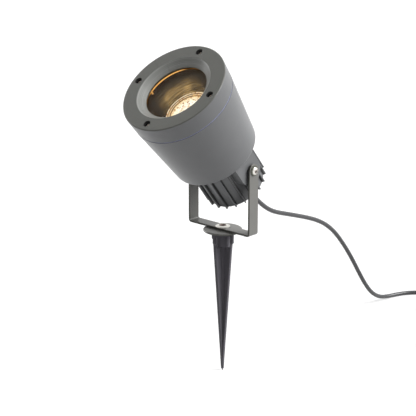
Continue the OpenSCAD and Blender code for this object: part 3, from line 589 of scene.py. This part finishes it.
# Yoke
# One strip of 2 mm steel, 13.2 mm wide, cut with round ends, punched, and bent up at both ends in a
# press. It is powder coated, so its punched edges are soft.
strip_w = 13.2
strip_t = 2
bend_r = 1.5
arm_out = 41
arm_in = arm_out - strip_t
pivot_z = 70
pivot_hole_r = 2.55
arm_top = pivot_z + strip_w / 2
bend_z = strip_top + bend_r
bend_x = arm_in - bend_r
bm = bmesh.new()
edge = [bm.edges.new([bm.verts.new((x, -strip_w / 2, arm_top)) for x in (-arm_out, -arm_in)])]


def drawn_on(edges, vec):
    """Draws the strip's edge on in a straight line."""
    out = bmesh.ops.extrude_edge_only(bm, edges=edges)["geom"]
    bmesh.ops.translate(bm, vec=vec, verts=picked(out))
    return picked(out, bmesh.types.BMEdge)


def bent_on(edges, middle):
    """Draws the strip's edge on round a quarter bend."""
    out = bmesh.ops.spin(bm, geom=edges, cent=middle, axis=(0, -1, 0), angle=pi / 2, steps=10)
    return picked(out["geom_last"], bmesh.types.BMEdge)


edge = drawn_on(edge, (0, 0, bend_z - arm_top))
edge = bent_on(edge, (-bend_x, 0, bend_z))
edge = drawn_on(edge, (2 * bend_x, 0, 0))
edge = bent_on(edge, (bend_x, 0, bend_z))
edge = drawn_on(edge, (0, 0, arm_top - bend_z))
out = bmesh.ops.extrude_face_region(bm, geom=bm.faces[:])
bmesh.ops.translate(bm, vec=(0, strip_w, 0), verts=picked(out["geom"]))
bmesh.ops.remove_doubles(bm, verts=bm.verts, dist=0.0005)
bmesh.ops.recalc_face_normals(bm, faces=bm.faces)
corners = [e for e in bm.edges if all(abs(v.co.z - arm_top) < 0.001 for v in e.verts)
           and abs(e.verts[0].co.x - e.verts[1].co.x) > strip_t / 2]
bmesh.ops.bevel(bm, geom=corners, offset=strip_w / 2 - 0.01, segments=20, profile=0.5, affect="EDGES",
                material=-1)
yoke = combined(bm, moved(rod(pivot_hole_r, -50, 50), (0, 0, pivot_z), 90, "Y"), "DIFFERENCE")
yoke = combined(yoke, rod(bolt_hole_r, 0, 10), "DIFFERENCE")
softened(yoke, 0.3, 3, 40)
# The strip's cut edges take the darker coat, as painted shade.
faced(yoke, lambda n: n.y * n.y > 0.3)
set_in(yoke, "bent_yoke", "yoke", "yoke", yoke_coat, shaded_finish=shaded_edge_coat)

# Housing
# One aluminium die casting: a tapered sleeve with a rounded rear rim, and behind it a narrower drum with
# cooling fins and a flat pad on each side for the yoke. It is powder coated in a neutral grey.
head_tilt = 51.3
head_place = Matrix.Translation((0, 0, pivot_z * mm)) @ Matrix.Rotation(radians(90 - head_tilt), 4, "X")
wall = 3
rim_z = 19.7
rim_round = 2.5
sleeve_rear_r = 44.8
sleeve_front_r = 52.8
seam_z = 94.4
case_front = seam_z - 0.5
ring_back = seam_z + 0.5
step_z = rim_z + wall
drum_back = -31.3
drum_r = 30.4
fin_r = 33.1
fin_t = 2
fin_root = 2
fin_draft = 0.62
fin_count = 20
fin_front = rim_z + wall / 2
fin_len = fin_front - drum_back
pad_reach = 37.5
pad_half = 14.7
pad_drop = 1.3
gland_side = 9.4
gland_hole_r = 6.05
coat_dark = linear("606163")
coat_light = linear("6b6c6d")


def head_point(material):
    """The pattern's place along the head: the point itself, its radius and its height, in metres."""
    place = add_node(material, "TexCoord").outputs["Object"]
    point = add_node(material, "Mapping", {"Vector": place, "Location": head_place.to_translation(),
                                           "Rotation": head_place.to_euler()}, vector_type="TEXTURE")
    height = add_node(material, "SeparateXYZ", {0: point}).outputs[2]
    across = add_node(material, "VectorMath", {0: point, 1: (1, 1, 0)}, operation="MULTIPLY")
    radius = add_node(material, "VectorMath", {0: across}, operation="LENGTH").outputs["Value"]
    return point, radius, height


# Powder coat on the casting: neutral grey and satin, with a fine orange peel, and painted shade beside the
# fins.
casting_coat = new_material("grey_powder_coat")
point, radius, height = head_point(casting_coat)
mixed, speck = peel(casting_coat, point, 0.7)
tone = add_node(casting_coat, "Mix", {0: mixed, 6: coat_dark, 7: coat_light}, data_type="RGBA")
# Painted shade: a dark line about 1 mm wide in the corners beside the fins' feet, where the fins shade the
# drum, and it ends at the sleeve's rim.
parts = add_node(casting_coat, "SeparateXYZ", {0: point})
angle = add_node(casting_coat, "Math", {0: parts.outputs[1], 1: parts.outputs[0]}, operation="ARCTAN2")
per_fin = add_node(casting_coat, "Math", {0: angle, 1: fin_count / turn}, operation="MULTIPLY")
whole = add_node(casting_coat, "Math", {0: per_fin}, operation="ROUND")
off = add_node(casting_coat, "Math", {0: per_fin, 1: whole}, operation="SUBTRACT")
off = add_node(casting_coat, "Math", {0: off}, operation="ABSOLUTE")
aside = add_node(casting_coat, "Math", {0: off, 1: radius}, operation="MULTIPLY")
fin_shade = add_node(casting_coat, "MapRange", {"Value": aside, "From Min": 1.85 * mm * fin_count / turn,
                                           "From Max": 1.2 * mm * fin_count / turn})
for place, start, end in ((radius, 32.4, 31.6), (height, 20.5, 19.5)):
    near = add_node(casting_coat, "MapRange", {"Value": place, "From Min": start * mm, "From Max": end * mm})
    fin_shade = add_node(casting_coat, "Math", {0: fin_shade, 1: near}, operation="MULTIPLY")
tone = add_node(casting_coat, "Mix", {0: fin_shade, 6: tone.outputs[2], 7: linear("343435")}, data_type="RGBA")
coated(casting_coat, tone, speck, 0.33)

sleeve = turned([(drum_r - 1.5, rim_z)] + arc(sleeve_rear_r - rim_round, rim_z + rim_round, rim_round, -90, 0)
                + [(sleeve_front_r, case_front), (sleeve_front_r - wall, case_front),
                   (sleeve_rear_r - wall, step_z + wall), (sleeve_rear_r - 2 * wall, step_z),
                   (drum_r - 1.5, step_z)], 180)
drum = rod(drum_r, drum_back, step_z, 160)
for i in range(fin_count):
    fin = block((fin_r - drum_r + fin_root, fin_t, fin_len))
    bmesh.ops.scale(fin, vec=(1, fin_draft, 1), verts=[v for v in fin.verts if v.co.x > 0])
    moved(fin, ((fin_r + drum_r - fin_root) / 2, 0, drum_back + fin_len / 2))
    drum = combined(drum, moved(fin, angle=360 * i / fin_count), "UNION")
pads = block((2 * pad_reach, 2 * pad_half, fin_front), (0, -pad_drop, fin_front / 2))
pads = combined(pads, moved(rod(pad_half, -pad_reach, pad_reach, 96), (0, -pad_drop, 0), 90, "Y"), "UNION")
case = combined(sleeve, combined(drum, pads, "UNION"), "UNION")
for hole in (rod(drum_r - wall, drum_back + wall, step_z + 1, 96),
             moved(rod(pivot_hole_r, -pad_reach - 1, pad_reach + 1), angle=90, axis="Y"),
             moved(rod(gland_hole_r, drum_back - 1, drum_back + wall + 1), (0, gland_side, 0))):
    case = combined(case, hole, "DIFFERENCE")
softened(case, 0.4, 3, 32)
set_in(case, "cast_housing", "head", "housing", casting_coat, head_place)

# Seam seal, seals of the glass and glass
# A flat blue-grey silicone seal lies in the seam. Two amber silicone rings hold the toughened glass between
# the ring's lip and the tube, clear of the metal. The rear one has a small tab that shows in the tube.
gasket_in = 49.6
gasket_out = 52.5
lip_back = 106.5
throat_r = 32
glass_r = 40
glass_t = 4
seal_t = 1
glass_front = lip_back - seal_t
glass_back = glass_front - glass_t
tube_r = 34.4
tube_front = glass_back - seal_t
tab_size = (0.9, 1.8, 2.6)
tab_angle = 184
lit_side = (-0.88, 0.48, 0)

# Silicone sheet, die cut: a soft blue-grey, dusty where it shows in the seam.
seal_grey = surface("blue_grey_silicone", "777b9a", "9ea2c2", 3, 2, {"Roughness": 0.5, "IOR": 1.41})
bm = softened(rod(gasket_out, case_front, ring_back, 180, gasket_in), 0.15, 2)
set_in(bm, "seam_gasket", "head", "seam_seal", seal_grey, head_place)

# The amber silicone of the glass seals, lit by the lamp: it glows orange on the side the lamp shines at.
lit_amber = new_material("lamp_lit_silicone")
point, radius, height = head_point(lit_amber)
turned_to = add_node(lit_amber, "VectorMath", {0: point, 1: lit_side}, operation="DOT_PRODUCT")
share = add_node(lit_amber, "Math", {0: turned_to.outputs["Value"], 1: radius}, operation="DIVIDE")
lit = add_node(lit_amber, "MapRange", {"Value": share, "From Min": 0.74, "From Max": 0.94, "To Min": 0.03,
                                       "To Max": 0.95}, interpolation_type="SMOOTHSTEP")
cloud = add_node(lit_amber, "TexNoise", {"Vector": point, "Scale": 1 / (4 * mm)})
tone = add_node(lit_amber, "Mix", {0: cloud, 6: linear("7d4f22"), 7: linear("96642e")}, data_type="RGBA")
skin = add_node(lit_amber, "BsdfPrincipled",
                {"Base Color": tone.outputs[2], "Roughness": 0.4, "IOR": 1.41,
                 "Emission Color": linear("ffbe6c"), "Emission Strength": lit})
add_node(lit_amber, "OutputMaterial", {"Surface": skin})

# Toughened soda-lime glass with an anti-reflection coat, which is why its index is set so low.
clear = new_material("coated_toughened_glass")
skin = add_node(clear, "BsdfPrincipled",
                {"Base Color": linear("fbfffd"), "Roughness": 0.0, "IOR": 1.12, "Transmission Weight": 1.0})
add_node(clear, "OutputMaterial", {"Surface": skin})
pane = softened(rod(glass_r, glass_back, glass_front, 128), 0.4, 2)
set_in(pane, "safety_glass", "head", "glass", clear, head_place)
front_seal = softened(rod(glass_r, glass_front, lip_back, 128, throat_r + 1.5), 0.2, 2)
tab = softened(block(tab_size, (tube_r - 0.35, 0, tube_front - 0.7)), 0.4)
moved(tab, angle=tab_angle)
rear_seal = turned([(tube_r, glass_back - 0.6), (tube_r + 0.4, tube_front), (tube_r + 0.8, tube_front),
                    (tube_r + 0.8, glass_back), (tube_r, glass_back)], 128)
softened(rear_seal, 0.15, 2)
bm = together([front_seal, tab, rear_seal])
set_in(bm, "glass_rings", "head", "glass_seals", lit_amber, head_place)

# Glare tube
# Drawn from thin aluminium and anodised dark bronze, so that the lamp can't be seen from the side. Its
# inside keeps the rings of the drawing tool, and the lit lamp's spill light makes a golden glow near it.
tube_wall = 1.2
lamp_face = 79
tube_back = lamp_face - 13
tube_flange_r = 49.4
spill_side = (-0.8, 0.6, 0)

bronze = new_material("bronze_anodised_aluminium")
point, radius, height = head_point(bronze)
drawn = add_node(bronze, "VectorMath", {0: point, 1: (0.13, 0.13, 1)}, operation="MULTIPLY")
rings = add_node(bronze, "TexNoise", {"Vector": drawn, "Scale": 1 / (1.6 * mm), "Detail": 3.0})
smear = add_node(bronze, "TexNoise", {"Vector": point, "Scale": 1 / (11 * mm), "Detail": 2.0})
tone = add_node(bronze, "Mix", {0: rings, 6: linear("261b11"), 7: linear("3b2a1c")}, data_type="RGBA")
rise = add_node(bronze, "Bump", {"Strength": 0.3, "Distance": 0.06 * mm, "Height": rings})
turned_to = add_node(bronze, "VectorMath", {0: point, 1: spill_side}, operation="DOT_PRODUCT")
share = add_node(bronze, "Math", {0: turned_to.outputs["Value"], 1: radius}, operation="DIVIDE")
# The spill falls off from the lamp to the front, in patches and streaks, on the side that it shines at.
spill = add_node(bronze, "MapRange", {"Value": height, "From Min": 95 * mm, "From Max": 78 * mm,
                                      "To Max": 0.5}, interpolation_type="SMOOTHSTEP")
for value, start, end, least, most in ((smear, 0.35, 0.65, 0.45, 1.0), (rings, 0.4, 0.6, 0.4, 1.2),
                                       (share, 0.7, 0.98, 0.08, 1.0)):
    part = add_node(bronze, "MapRange",
                    {"Value": value, "From Min": start, "From Max": end, "To Min": least, "To Max": most})
    spill = add_node(bronze, "Math", {0: spill, 1: part}, operation="MULTIPLY")
skin = add_node(bronze, "BsdfPrincipled",
                {"Base Color": tone.outputs[2], "Metallic": 0.1, "Roughness": 0.5, "IOR": 1.3, "Normal": rise,
                 "Emission Color": linear("f0c27c"), "Emission Strength": spill})
add_node(bronze, "OutputMaterial", {"Surface": skin})
tube_out = tube_r + tube_wall
shield = turned([(tube_r, tube_back), (tube_out, tube_back), (tube_out, case_front),
                 (tube_flange_r, case_front), (tube_flange_r, ring_back), (tube_out, ring_back),
                 (tube_out, tube_front), (tube_r, tube_front)], 160)
softened(shield, 0.25, 2)
set_in(shield, "glare_shield", "head", "glare_tube", bronze, head_place)

# Lamp
# A 50 mm reflector lamp with two pins. Its body is a pale ceramic cone, and its front is a bright rim
# round a pressed glass lens with rings of small bosses, which glows warm white when it is lit.
lamp_r = 25
lamp_base = lamp_face - 45
lamp_foot_r = 12.5
lamp_foot_len = 9
bezel_back = lamp_face - 2.4
bezel_in = lamp_r - 2.6
lens_r = bezel_in - 0.05
lens_edge = 1.6
lens_top = bezel_back + 1.4
boss_pitch = 2.8
boss_rings = 7
lens_boss_r = boss_pitch * 0.46
lens_boss_flat = 0.4

# Ceramic, pressed and fired: pale, dull and faintly clouded.
ceramic = surface("matt_ceramic", "d6d1c5", "e6e2d8", 6, 4, {"Roughness": 0.5, "IOR": 1.52})
bm = turned([(0, lamp_base), (lamp_foot_r, lamp_base), (lamp_foot_r, lamp_base + lamp_foot_len),
             (lamp_r - 1.3, bezel_back - 4), (lamp_r, bezel_back - 2), (lamp_r, bezel_back), (0, bezel_back)])
softened(bm, 0.4)
set_in(bm, "lamp_cone", "head", "lamp_body", ceramic, head_place)


def lit_glass(name, stops, shine):
    """Pressed glass, lit from behind: pale cream where it is thick, and brown in its grooves. stops gives
    its colour by the distance from the lamp's axis, and shine how strongly it glows."""
    made = new_material(name)
    point, radius, height = head_point(made)
    share = add_node(made, "Math", {0: radius, 1: 1 / (lamp_r * mm)}, operation="MULTIPLY")
    ramp = add_node(made, "ValToRGB", {0: share})
    bands = ramp.color_ramp.elements
    while len(bands) < len(stops):
        bands.new(1)
    for band, (r, code) in zip(bands, stops):
        band.position = r / lamp_r
        band.color = linear(code)
    cells = add_node(made, "TexVoronoi", {"Vector": point, "Scale": 1 / (boss_pitch * mm), "Randomness": 0.8})
    dip = add_node(made, "MapRange", {"Value": cells, "From Min": 0.5, "From Max": 1.0})
    warm = add_node(made, "Mix", {0: dip, 6: ramp, 7: linear("c99a5c")}, data_type="RGBA")
    sparks = add_node(made, "TexNoise", {"Vector": point, "Scale": 1 / (2.1 * mm), "Detail": 1.0})
    spot = add_node(made, "MapRange", {"Value": sparks, "From Min": 0.61, "From Max": 0.66})
    shown = add_node(made, "Mix", {0: spot, 6: warm.outputs[2], 7: linear("a06428")}, data_type="RGBA")
    skin = add_node(made, "BsdfPrincipled",
                    {"Base Color": linear("3a3126"), "Roughness": 0.3, "IOR": 1.5,
                     "Emission Color": shown.outputs[2], "Emission Strength": shine})
    add_node(made, "OutputMaterial", {"Surface": skin})
    return made


trim = lit_glass("lit_glass_rim", [(22.4, "4a3320"), (23.0, "4f3722"), (23.3, "f3dab4"), (24.8, "f6e0bd"),
                                   (25, "7a5a3a")], 1.0)
bm = turned([(bezel_in, bezel_back), (lamp_r, bezel_back), (lamp_r, lamp_face - 0.6),
             (lamp_r - 0.6, lamp_face), (bezel_in + 0.9, lamp_face), (bezel_in, lamp_face - 0.7)], 128)
softened(bm, 0.2, 2, 25)
set_in(bm, "lamp_rim", "head", "lamp_bezel", trim, head_place)

glow = lit_glass("lit_pressed_lens",
                 [(12, "fff8e6"), (17, "ffefd0"), (19.6, "ecc890"), (20.2, "5a3e24"), (20.8, "5f4327"),
                  (21.2, "e0c096"), (22, "e4c69c"), (22.3, "4a3320")], 1.15)
bm = turned([(0, bezel_back), (lens_r, bezel_back), (lens_r, lens_top + 0.5),
             (lens_r - lens_edge, lens_top + 0.5), (lens_r - lens_edge, lens_top), (0, lens_top)], 128)
softened(bm, 0.15, 2)
for ring in range(boss_rings):
    r = ring * boss_pitch
    count = max(1, round(turn * r / boss_pitch))
    for i in range(count):
        a = turn * (i + ring / 2) / count
        boss = bmesh.ops.create_icosphere(bm, subdivisions=1, radius=lens_boss_r)["verts"]
        bmesh.ops.scale(bm, vec=(1, 1, lens_boss_flat), verts=boss)
        bmesh.ops.translate(bm, vec=(r * cos(a), r * sin(a), lens_top), verts=boss)
set_in(bm, "lamp_lens_plate", "head", "lamp_lens", glow, head_place)

# Front ring
# An aluminium die casting, turned on its bevel and face before it is coated, so that the bevel keeps fine
# rings. Four deep pockets take the screws that clamp the glass and the tube to the housing.
front_z = 114
front_round = 1.2
ring_r = 54
mouth_r = 39
bevel_z = 107.7
hub_r = glass_r + 0.4
hub_wall = 2.5
hub_back = ring_back + 3
screw_circle_r = 46.4
screw_places = ((screw_circle_r, 0), (0, screw_circle_r), (-screw_circle_r, 0), (0, -screw_circle_r))
boss_r = 5.4
bore_r = 2.05
pocket_r = 3.6
pocket_z = front_z - 6

ring_coat = new_material("turned_and_coated_casting")
point, radius, height = head_point(ring_coat)
mixed, speck = peel(ring_coat, point, 0.7)
# The tool's rings are about 0.2 mm apart on the real bevel, drawn at 0.9 mm so that they show.
cuts = add_node(ring_coat, "TexNoise", {"W": radius, "Scale": 1 / (0.9 * mm), "Detail": 2.0},
                noise_dimensions="1D")
on_face = add_node(ring_coat, "MapRange",
                   {"Value": height, "From Min": (front_z - 1.1) * mm, "From Max": (front_z - 0.7) * mm})
on_bevel = add_node(ring_coat, "MapRange",
                    {"Value": radius, "From Min": (mouth_r + 0.2) * mm, "From Max": mouth_r * mm})
tone = add_node(ring_coat, "Mix", {0: mixed, 6: coat_dark, 7: coat_light}, data_type="RGBA")
# The face takes a darker copy of the coat, as painted shade. The bevel's turned rings are its own, but its
# lighter tone is partly a painted highlight.
for pattern, share, dark, light in ((mixed, on_face, "484943", "52534d"),
                                    (cuts, on_bevel, "626360", "9a9b97")):
    other = add_node(ring_coat, "Mix", {0: pattern, 6: linear(dark), 7: linear(light)}, data_type="RGBA")
    tone = add_node(ring_coat, "Mix", {0: share, 6: tone.outputs[2], 7: other.outputs[2]}, data_type="RGBA")
coated(ring_coat, tone, add_node(ring_coat, "Mix", {0: on_bevel, 2: speck, 3: cuts}), 0.36)

# The coat deep in the pockets, painted near black as painted shade.
shaded_pocket_coat = powder_coat("pocket_coat_painted_shade", "161616", "1e1e1d", 0.7, 0.7)


def at_screw(bm, i):
    """Sets a shape drawn on the head's axis at one of the four screws of the ring."""
    return moved(moved(bm, (screw_circle_r, 0, 0)), angle=90 * i)


face = turned([(sleeve_front_r, ring_back)]
              + arc(ring_r - front_round, front_z - front_round, front_round, 0, 90)
              + [(mouth_r, front_z), (throat_r, bevel_z), (throat_r, lip_back), (hub_r, lip_back),
                 (hub_r, hub_back), (hub_r + hub_wall, hub_back), (hub_r + hub_wall, lip_back),
                 (ring_r - wall, lip_back), (sleeve_front_r - wall, ring_back)], 180)
for i in range(4):
    face = combined(face, at_screw(rod(boss_r, ring_back, bevel_z), i), "UNION")
for i in range(4):
    face = combined(face, at_screw(rod(pocket_r, pocket_z, front_z + 1, 64), i), "DIFFERENCE")
    face = combined(face, at_screw(rod(bore_r, ring_back - 1, front_z, 32), i), "DIFFERENCE")
softened(face, 0.3)
# The pockets' walls and floors take the dark coat, as painted shade.
for middle in screw_places:
    sunk(face, pocket_r + 0.05, ring_back, front_z - 0.3, middle)
set_in(face, "bevelled_ring", "head", "front_ring", ring_coat, head_place, shaded_pocket_coat)

# Ring screws
# Four stainless screws with pan heads and cross recesses, deep in the ring's pockets, that reach through
# the tube's flange into the housing's bosses.
ring_screw_r = 2
ring_screw_len = 28

# Stainless steel, blasted: very pale and satin, so that the heads catch light deep in their pockets.
blasted = surface("blasted_stainless_steel", "dccfc2", "f4ece2", 1.5, 3,
                  {"Metallic": 0.85, "Roughness": 0.42})
heads = []
for i in range(4):
    head = moved(screw_head(r=3.2, h=3.4, edge=2.0, driver_r=1.9, depth=1.5), (0, 0, pocket_z))
    head = combined(head, rod(ring_screw_r, pocket_z - ring_screw_len, pocket_z + 0.1, 32), "UNION")
    # The cross recess takes the dark steel, as painted shade.
    sunk(head, 1.2, pocket_z, pocket_z + 3)
    heads.append(at_screw(head, i))
bm = together(heads)
set_in(bm, "ring_fixings", "head", "ring_screws", blasted, head_place, shaded_recess_steel)

# Pivot screws, washers and spacers
# On each side a stainless screw with a domed head goes through a zinc plated washer, the arm and a nylon
# spacer into the head's pad. It is tightened to hold the tilt.
pivot_seat = arm_out + 0.8
pivot_screw_r = 2.5
pivot_screw_end = pad_reach - 7
pivot_washer_r = 5.2
spacer_r = 6

# Zinc plate, passivated dark: olive black, with a low metallic shine.
zinc = surface("black_zinc_plate", "4d4f47", "66685d", 1.5, 3, {"Metallic": 0.6, "Roughness": 0.45})
screws, washers, spacers = [], [], []
for side in (-90, 90):
    head = moved(screw_head(r=3.9, h=2.6, edge=0.7, driver_r=2.3, depth=1.7), (0, 0, pivot_seat))
    head = combined(head, rod(pivot_screw_r, pivot_screw_end, pivot_seat + 0.1), "UNION")
    # The cross recess takes the dark steel, as painted shade.
    sunk(head, 2.25, pivot_seat, pivot_seat + 2.4)
    flat = softened(rod(pivot_washer_r, arm_out, pivot_seat, 64, pivot_hole_r), 0.2, 2)
    spacer = softened(rod(spacer_r, pad_reach, arm_in, 64, pivot_hole_r), 0.2, 2)
    for drawn, kept in ((head, screws), (flat, washers), (spacer, spacers)):
        kept.append(moved(drawn, angle=side, axis="Y"))
bm = together(screws)
set_in(bm, "pivot_bolts", "head", "pivot_screws", steel, head_place, shaded_recess_steel)
set_in(together(washers), "pivot_lock_washers", "head", "pivot_washers", zinc, head_place)
set_in(together(spacers), "pivot_bushes", "head", "pivot_spacers", nylon, head_place)

# Cable gland and bend relief
# A nylon gland is clamped in the drum's rear wall by a nut, on a silicone washer. The bend relief is
# moulded in soft rubber over its end, a taper with ring grooves, and grips the cable.
gland_end = -36.3
gland_hex_r = 8.6
gland_hex_t = 4
gland_neck_r = 6
gland_bore_r = 2.45
gland_thread_end = -24.3
boot_len = 19.7
boot_end = gland_end - boot_len
boot_tip_r = 3.8
boot_root_r = 6.6
boot_rings = 5
gland_place = head_place @ Matrix.Translation((0, gland_side * mm, 0))
hexagon = turned([(0, gland_end), (gland_hex_r - 0.6, gland_end), (gland_hex_r, gland_end + 0.6),
                  (gland_hex_r, gland_end + gland_hex_t - 0.6), (gland_hex_r - 0.6, gland_end + gland_hex_t),
                  (0, gland_end + gland_hex_t)], 6)
softened(hexagon, 0.25, 2, 25)
gland = combined(hexagon, rod(gland_neck_r, gland_end + gland_hex_t - 0.05, gland_thread_end, 64), "UNION")
gland = combined(gland, rod(gland_bore_r, gland_end - 1, -20), "DIFFERENCE")
set_in(gland, "cable_gland", "head", "gland_body", nylon, gland_place)
boot = [(gland_bore_r, gland_end), (gland_bore_r, boot_end), (boot_tip_r - 0.4, boot_end)]
for i in range(1, boot_rings):
    z = boot_end + i * boot_len / boot_rings
    r = boot_tip_r + (boot_root_r - boot_tip_r) * i / boot_rings
    boot += [(r - 0.15, z - 0.75), (r - 0.9, z - 0.55), (r - 0.9, z + 0.55), (r + 0.1, z + 0.75)]
bm = softened(turned(boot + [(boot_root_r, gland_end)], 64), 0.2, 2, 25)
set_in(bm, "bend_relief", "head", "cable_boot", rubber, gland_place)
dress(nylon, "gland_nut")
dress(seal_grey, "gland_seal")
dress(jacket, "cable_end")

# Inside the head
# The lamp plugs into a ceramic holder on a zinc plated steel bar. Two heatproof leads join it to a
# nylon terminal block with brass clamps, where the cable's cores end.
dress(ceramic, "lamp_holder")
dress(steel, "lamp_pins", "holder_screws", "bracket_screws", "block_screw")

# Zinc plate on steel: cool grey metal with a dull, slightly uneven shine.
plated = surface("zinc_plated_steel", "9a9d9e", "b9bcbb", 4, 4, {"Metallic": 1.0, "Roughness": 0.42})
dress(plated, "holder_bracket")

# Natural nylon, moulded: cream white and slightly waxy.
cream = surface("natural_nylon", "dedacb", "ebe8dc", 4, 2, {"Roughness": 0.4, "IOR": 1.53})
dress(cream, "terminal_block")

# PVC insulation, extruded: red-brown and glossy.
core = surface("core_insulation_pvc", "7c3324", "93402e", 3, 2, {"Roughness": 0.3, "IOR": 1.5})
dress(core, "supply_cores")

# Glass fibre sleeve, braided: off-white, with the crossing threads about 0.4 mm apart.
fibre = new_material("braided_glass_fibre")
place = add_node(fibre, "TexCoord").outputs["Object"]
braid = add_node(fibre, "TexVoronoi", {"Vector": place, "Scale": 1 / (0.4 * mm)})
tone = add_node(fibre, "Mix", {0: braid, 6: linear("e8e5da"), 7: linear("b9b4a4")}, data_type="RGBA")
rise = add_node(fibre, "Bump", {"Strength": 0.6, "Distance": 0.1 * mm, "Height": braid}, invert=True)
skin = add_node(fibre, "BsdfPrincipled", {"Base Color": tone.outputs[2], "Roughness": 0.8, "Normal": rise})
add_node(fibre, "OutputMaterial", {"Surface": skin})
dress(fibre, "holder_leads")

# Floor
# A plain pale floor under the spike's tip and the coil. The camera and reflections see it as white, and
# it keeps the light's shadow.
floor_half = 30
floor_lift = 0.6
white = linear("ffffff")


def seen_plainly(material):
    """1 for what the camera, metal and glass see, and 0 for the light that reaches the object."""
    path = add_node(material, "LightPath")
    shown = path.outputs["Is Camera Ray"]
    for ray in ("Is Glossy Ray", "Is Transmission Ray"):
        shown = add_node(material, "Math", {0: shown, 1: path.outputs[ray]}, operation="MAXIMUM").outputs[0]
    return shown


paper = new_material("pale_paper")
matt = add_node(paper, "BsdfDiffuse", {"Color": linear("b4b4b4")})
lift = add_node(paper, "Math", {0: seen_plainly(paper), 1: floor_lift}, operation="MULTIPLY")
bright = add_node(paper, "Emission", {"Color": white, "Strength": lift})
both = add_node(paper, "AddShader", {0: matt, 1: bright})
add_node(paper, "OutputMaterial", {"Surface": both})
bm = bmesh.new()
bmesh.ops.create_grid(bm, x_segments=1, y_segments=1, size=floor_half)
bmesh.ops.translate(bm, vec=(0, 0, floor_z), verts=bm.verts)
floor = placed("floor", as_mesh(bm, "floor"))
floor.data.materials.append(paper)

# Light
# A white surround that the camera, metal and glass see at full strength, and that lights the object
# weakly. Broad soft lights stand behind on the right, above, and low on the left.
world = bpy.data.worlds.new("surround")
bpy.context.scene.world = world
world.use_nodes = True
world.node_tree.nodes.clear()
level = add_node(world, "MapRange", {"Value": seen_plainly(world), "To Min": 0.12, "To Max": 1.0})
sky = add_node(world, "Background", {"Color": white, "Strength": level})
add_node(world, "OutputWorld", {"Surface": sky})


def soft_light(name, direction, level, spread):
    """Soft light from a direction. A level of 1 shows a white surface that faces it as white."""
    lamp = bpy.data.lights.new(name, "SUN")
    lamp.energy = pi * level
    lamp.angle = radians(spread)
    placed(name, lamp).rotation_euler = Vector(direction).to_track_quat("Z", "Y").to_euler()


soft_light("key", (0.66, 0.42, 0.62), 1.4, 45)
soft_light("top", (-0.15, 0.1, 1.0), 0.2, 80)
soft_light("left", (-1.0, 0.1, 0.1), 0.55, 50)

bpy.context.scene.view_settings.view_transform = "Standard"
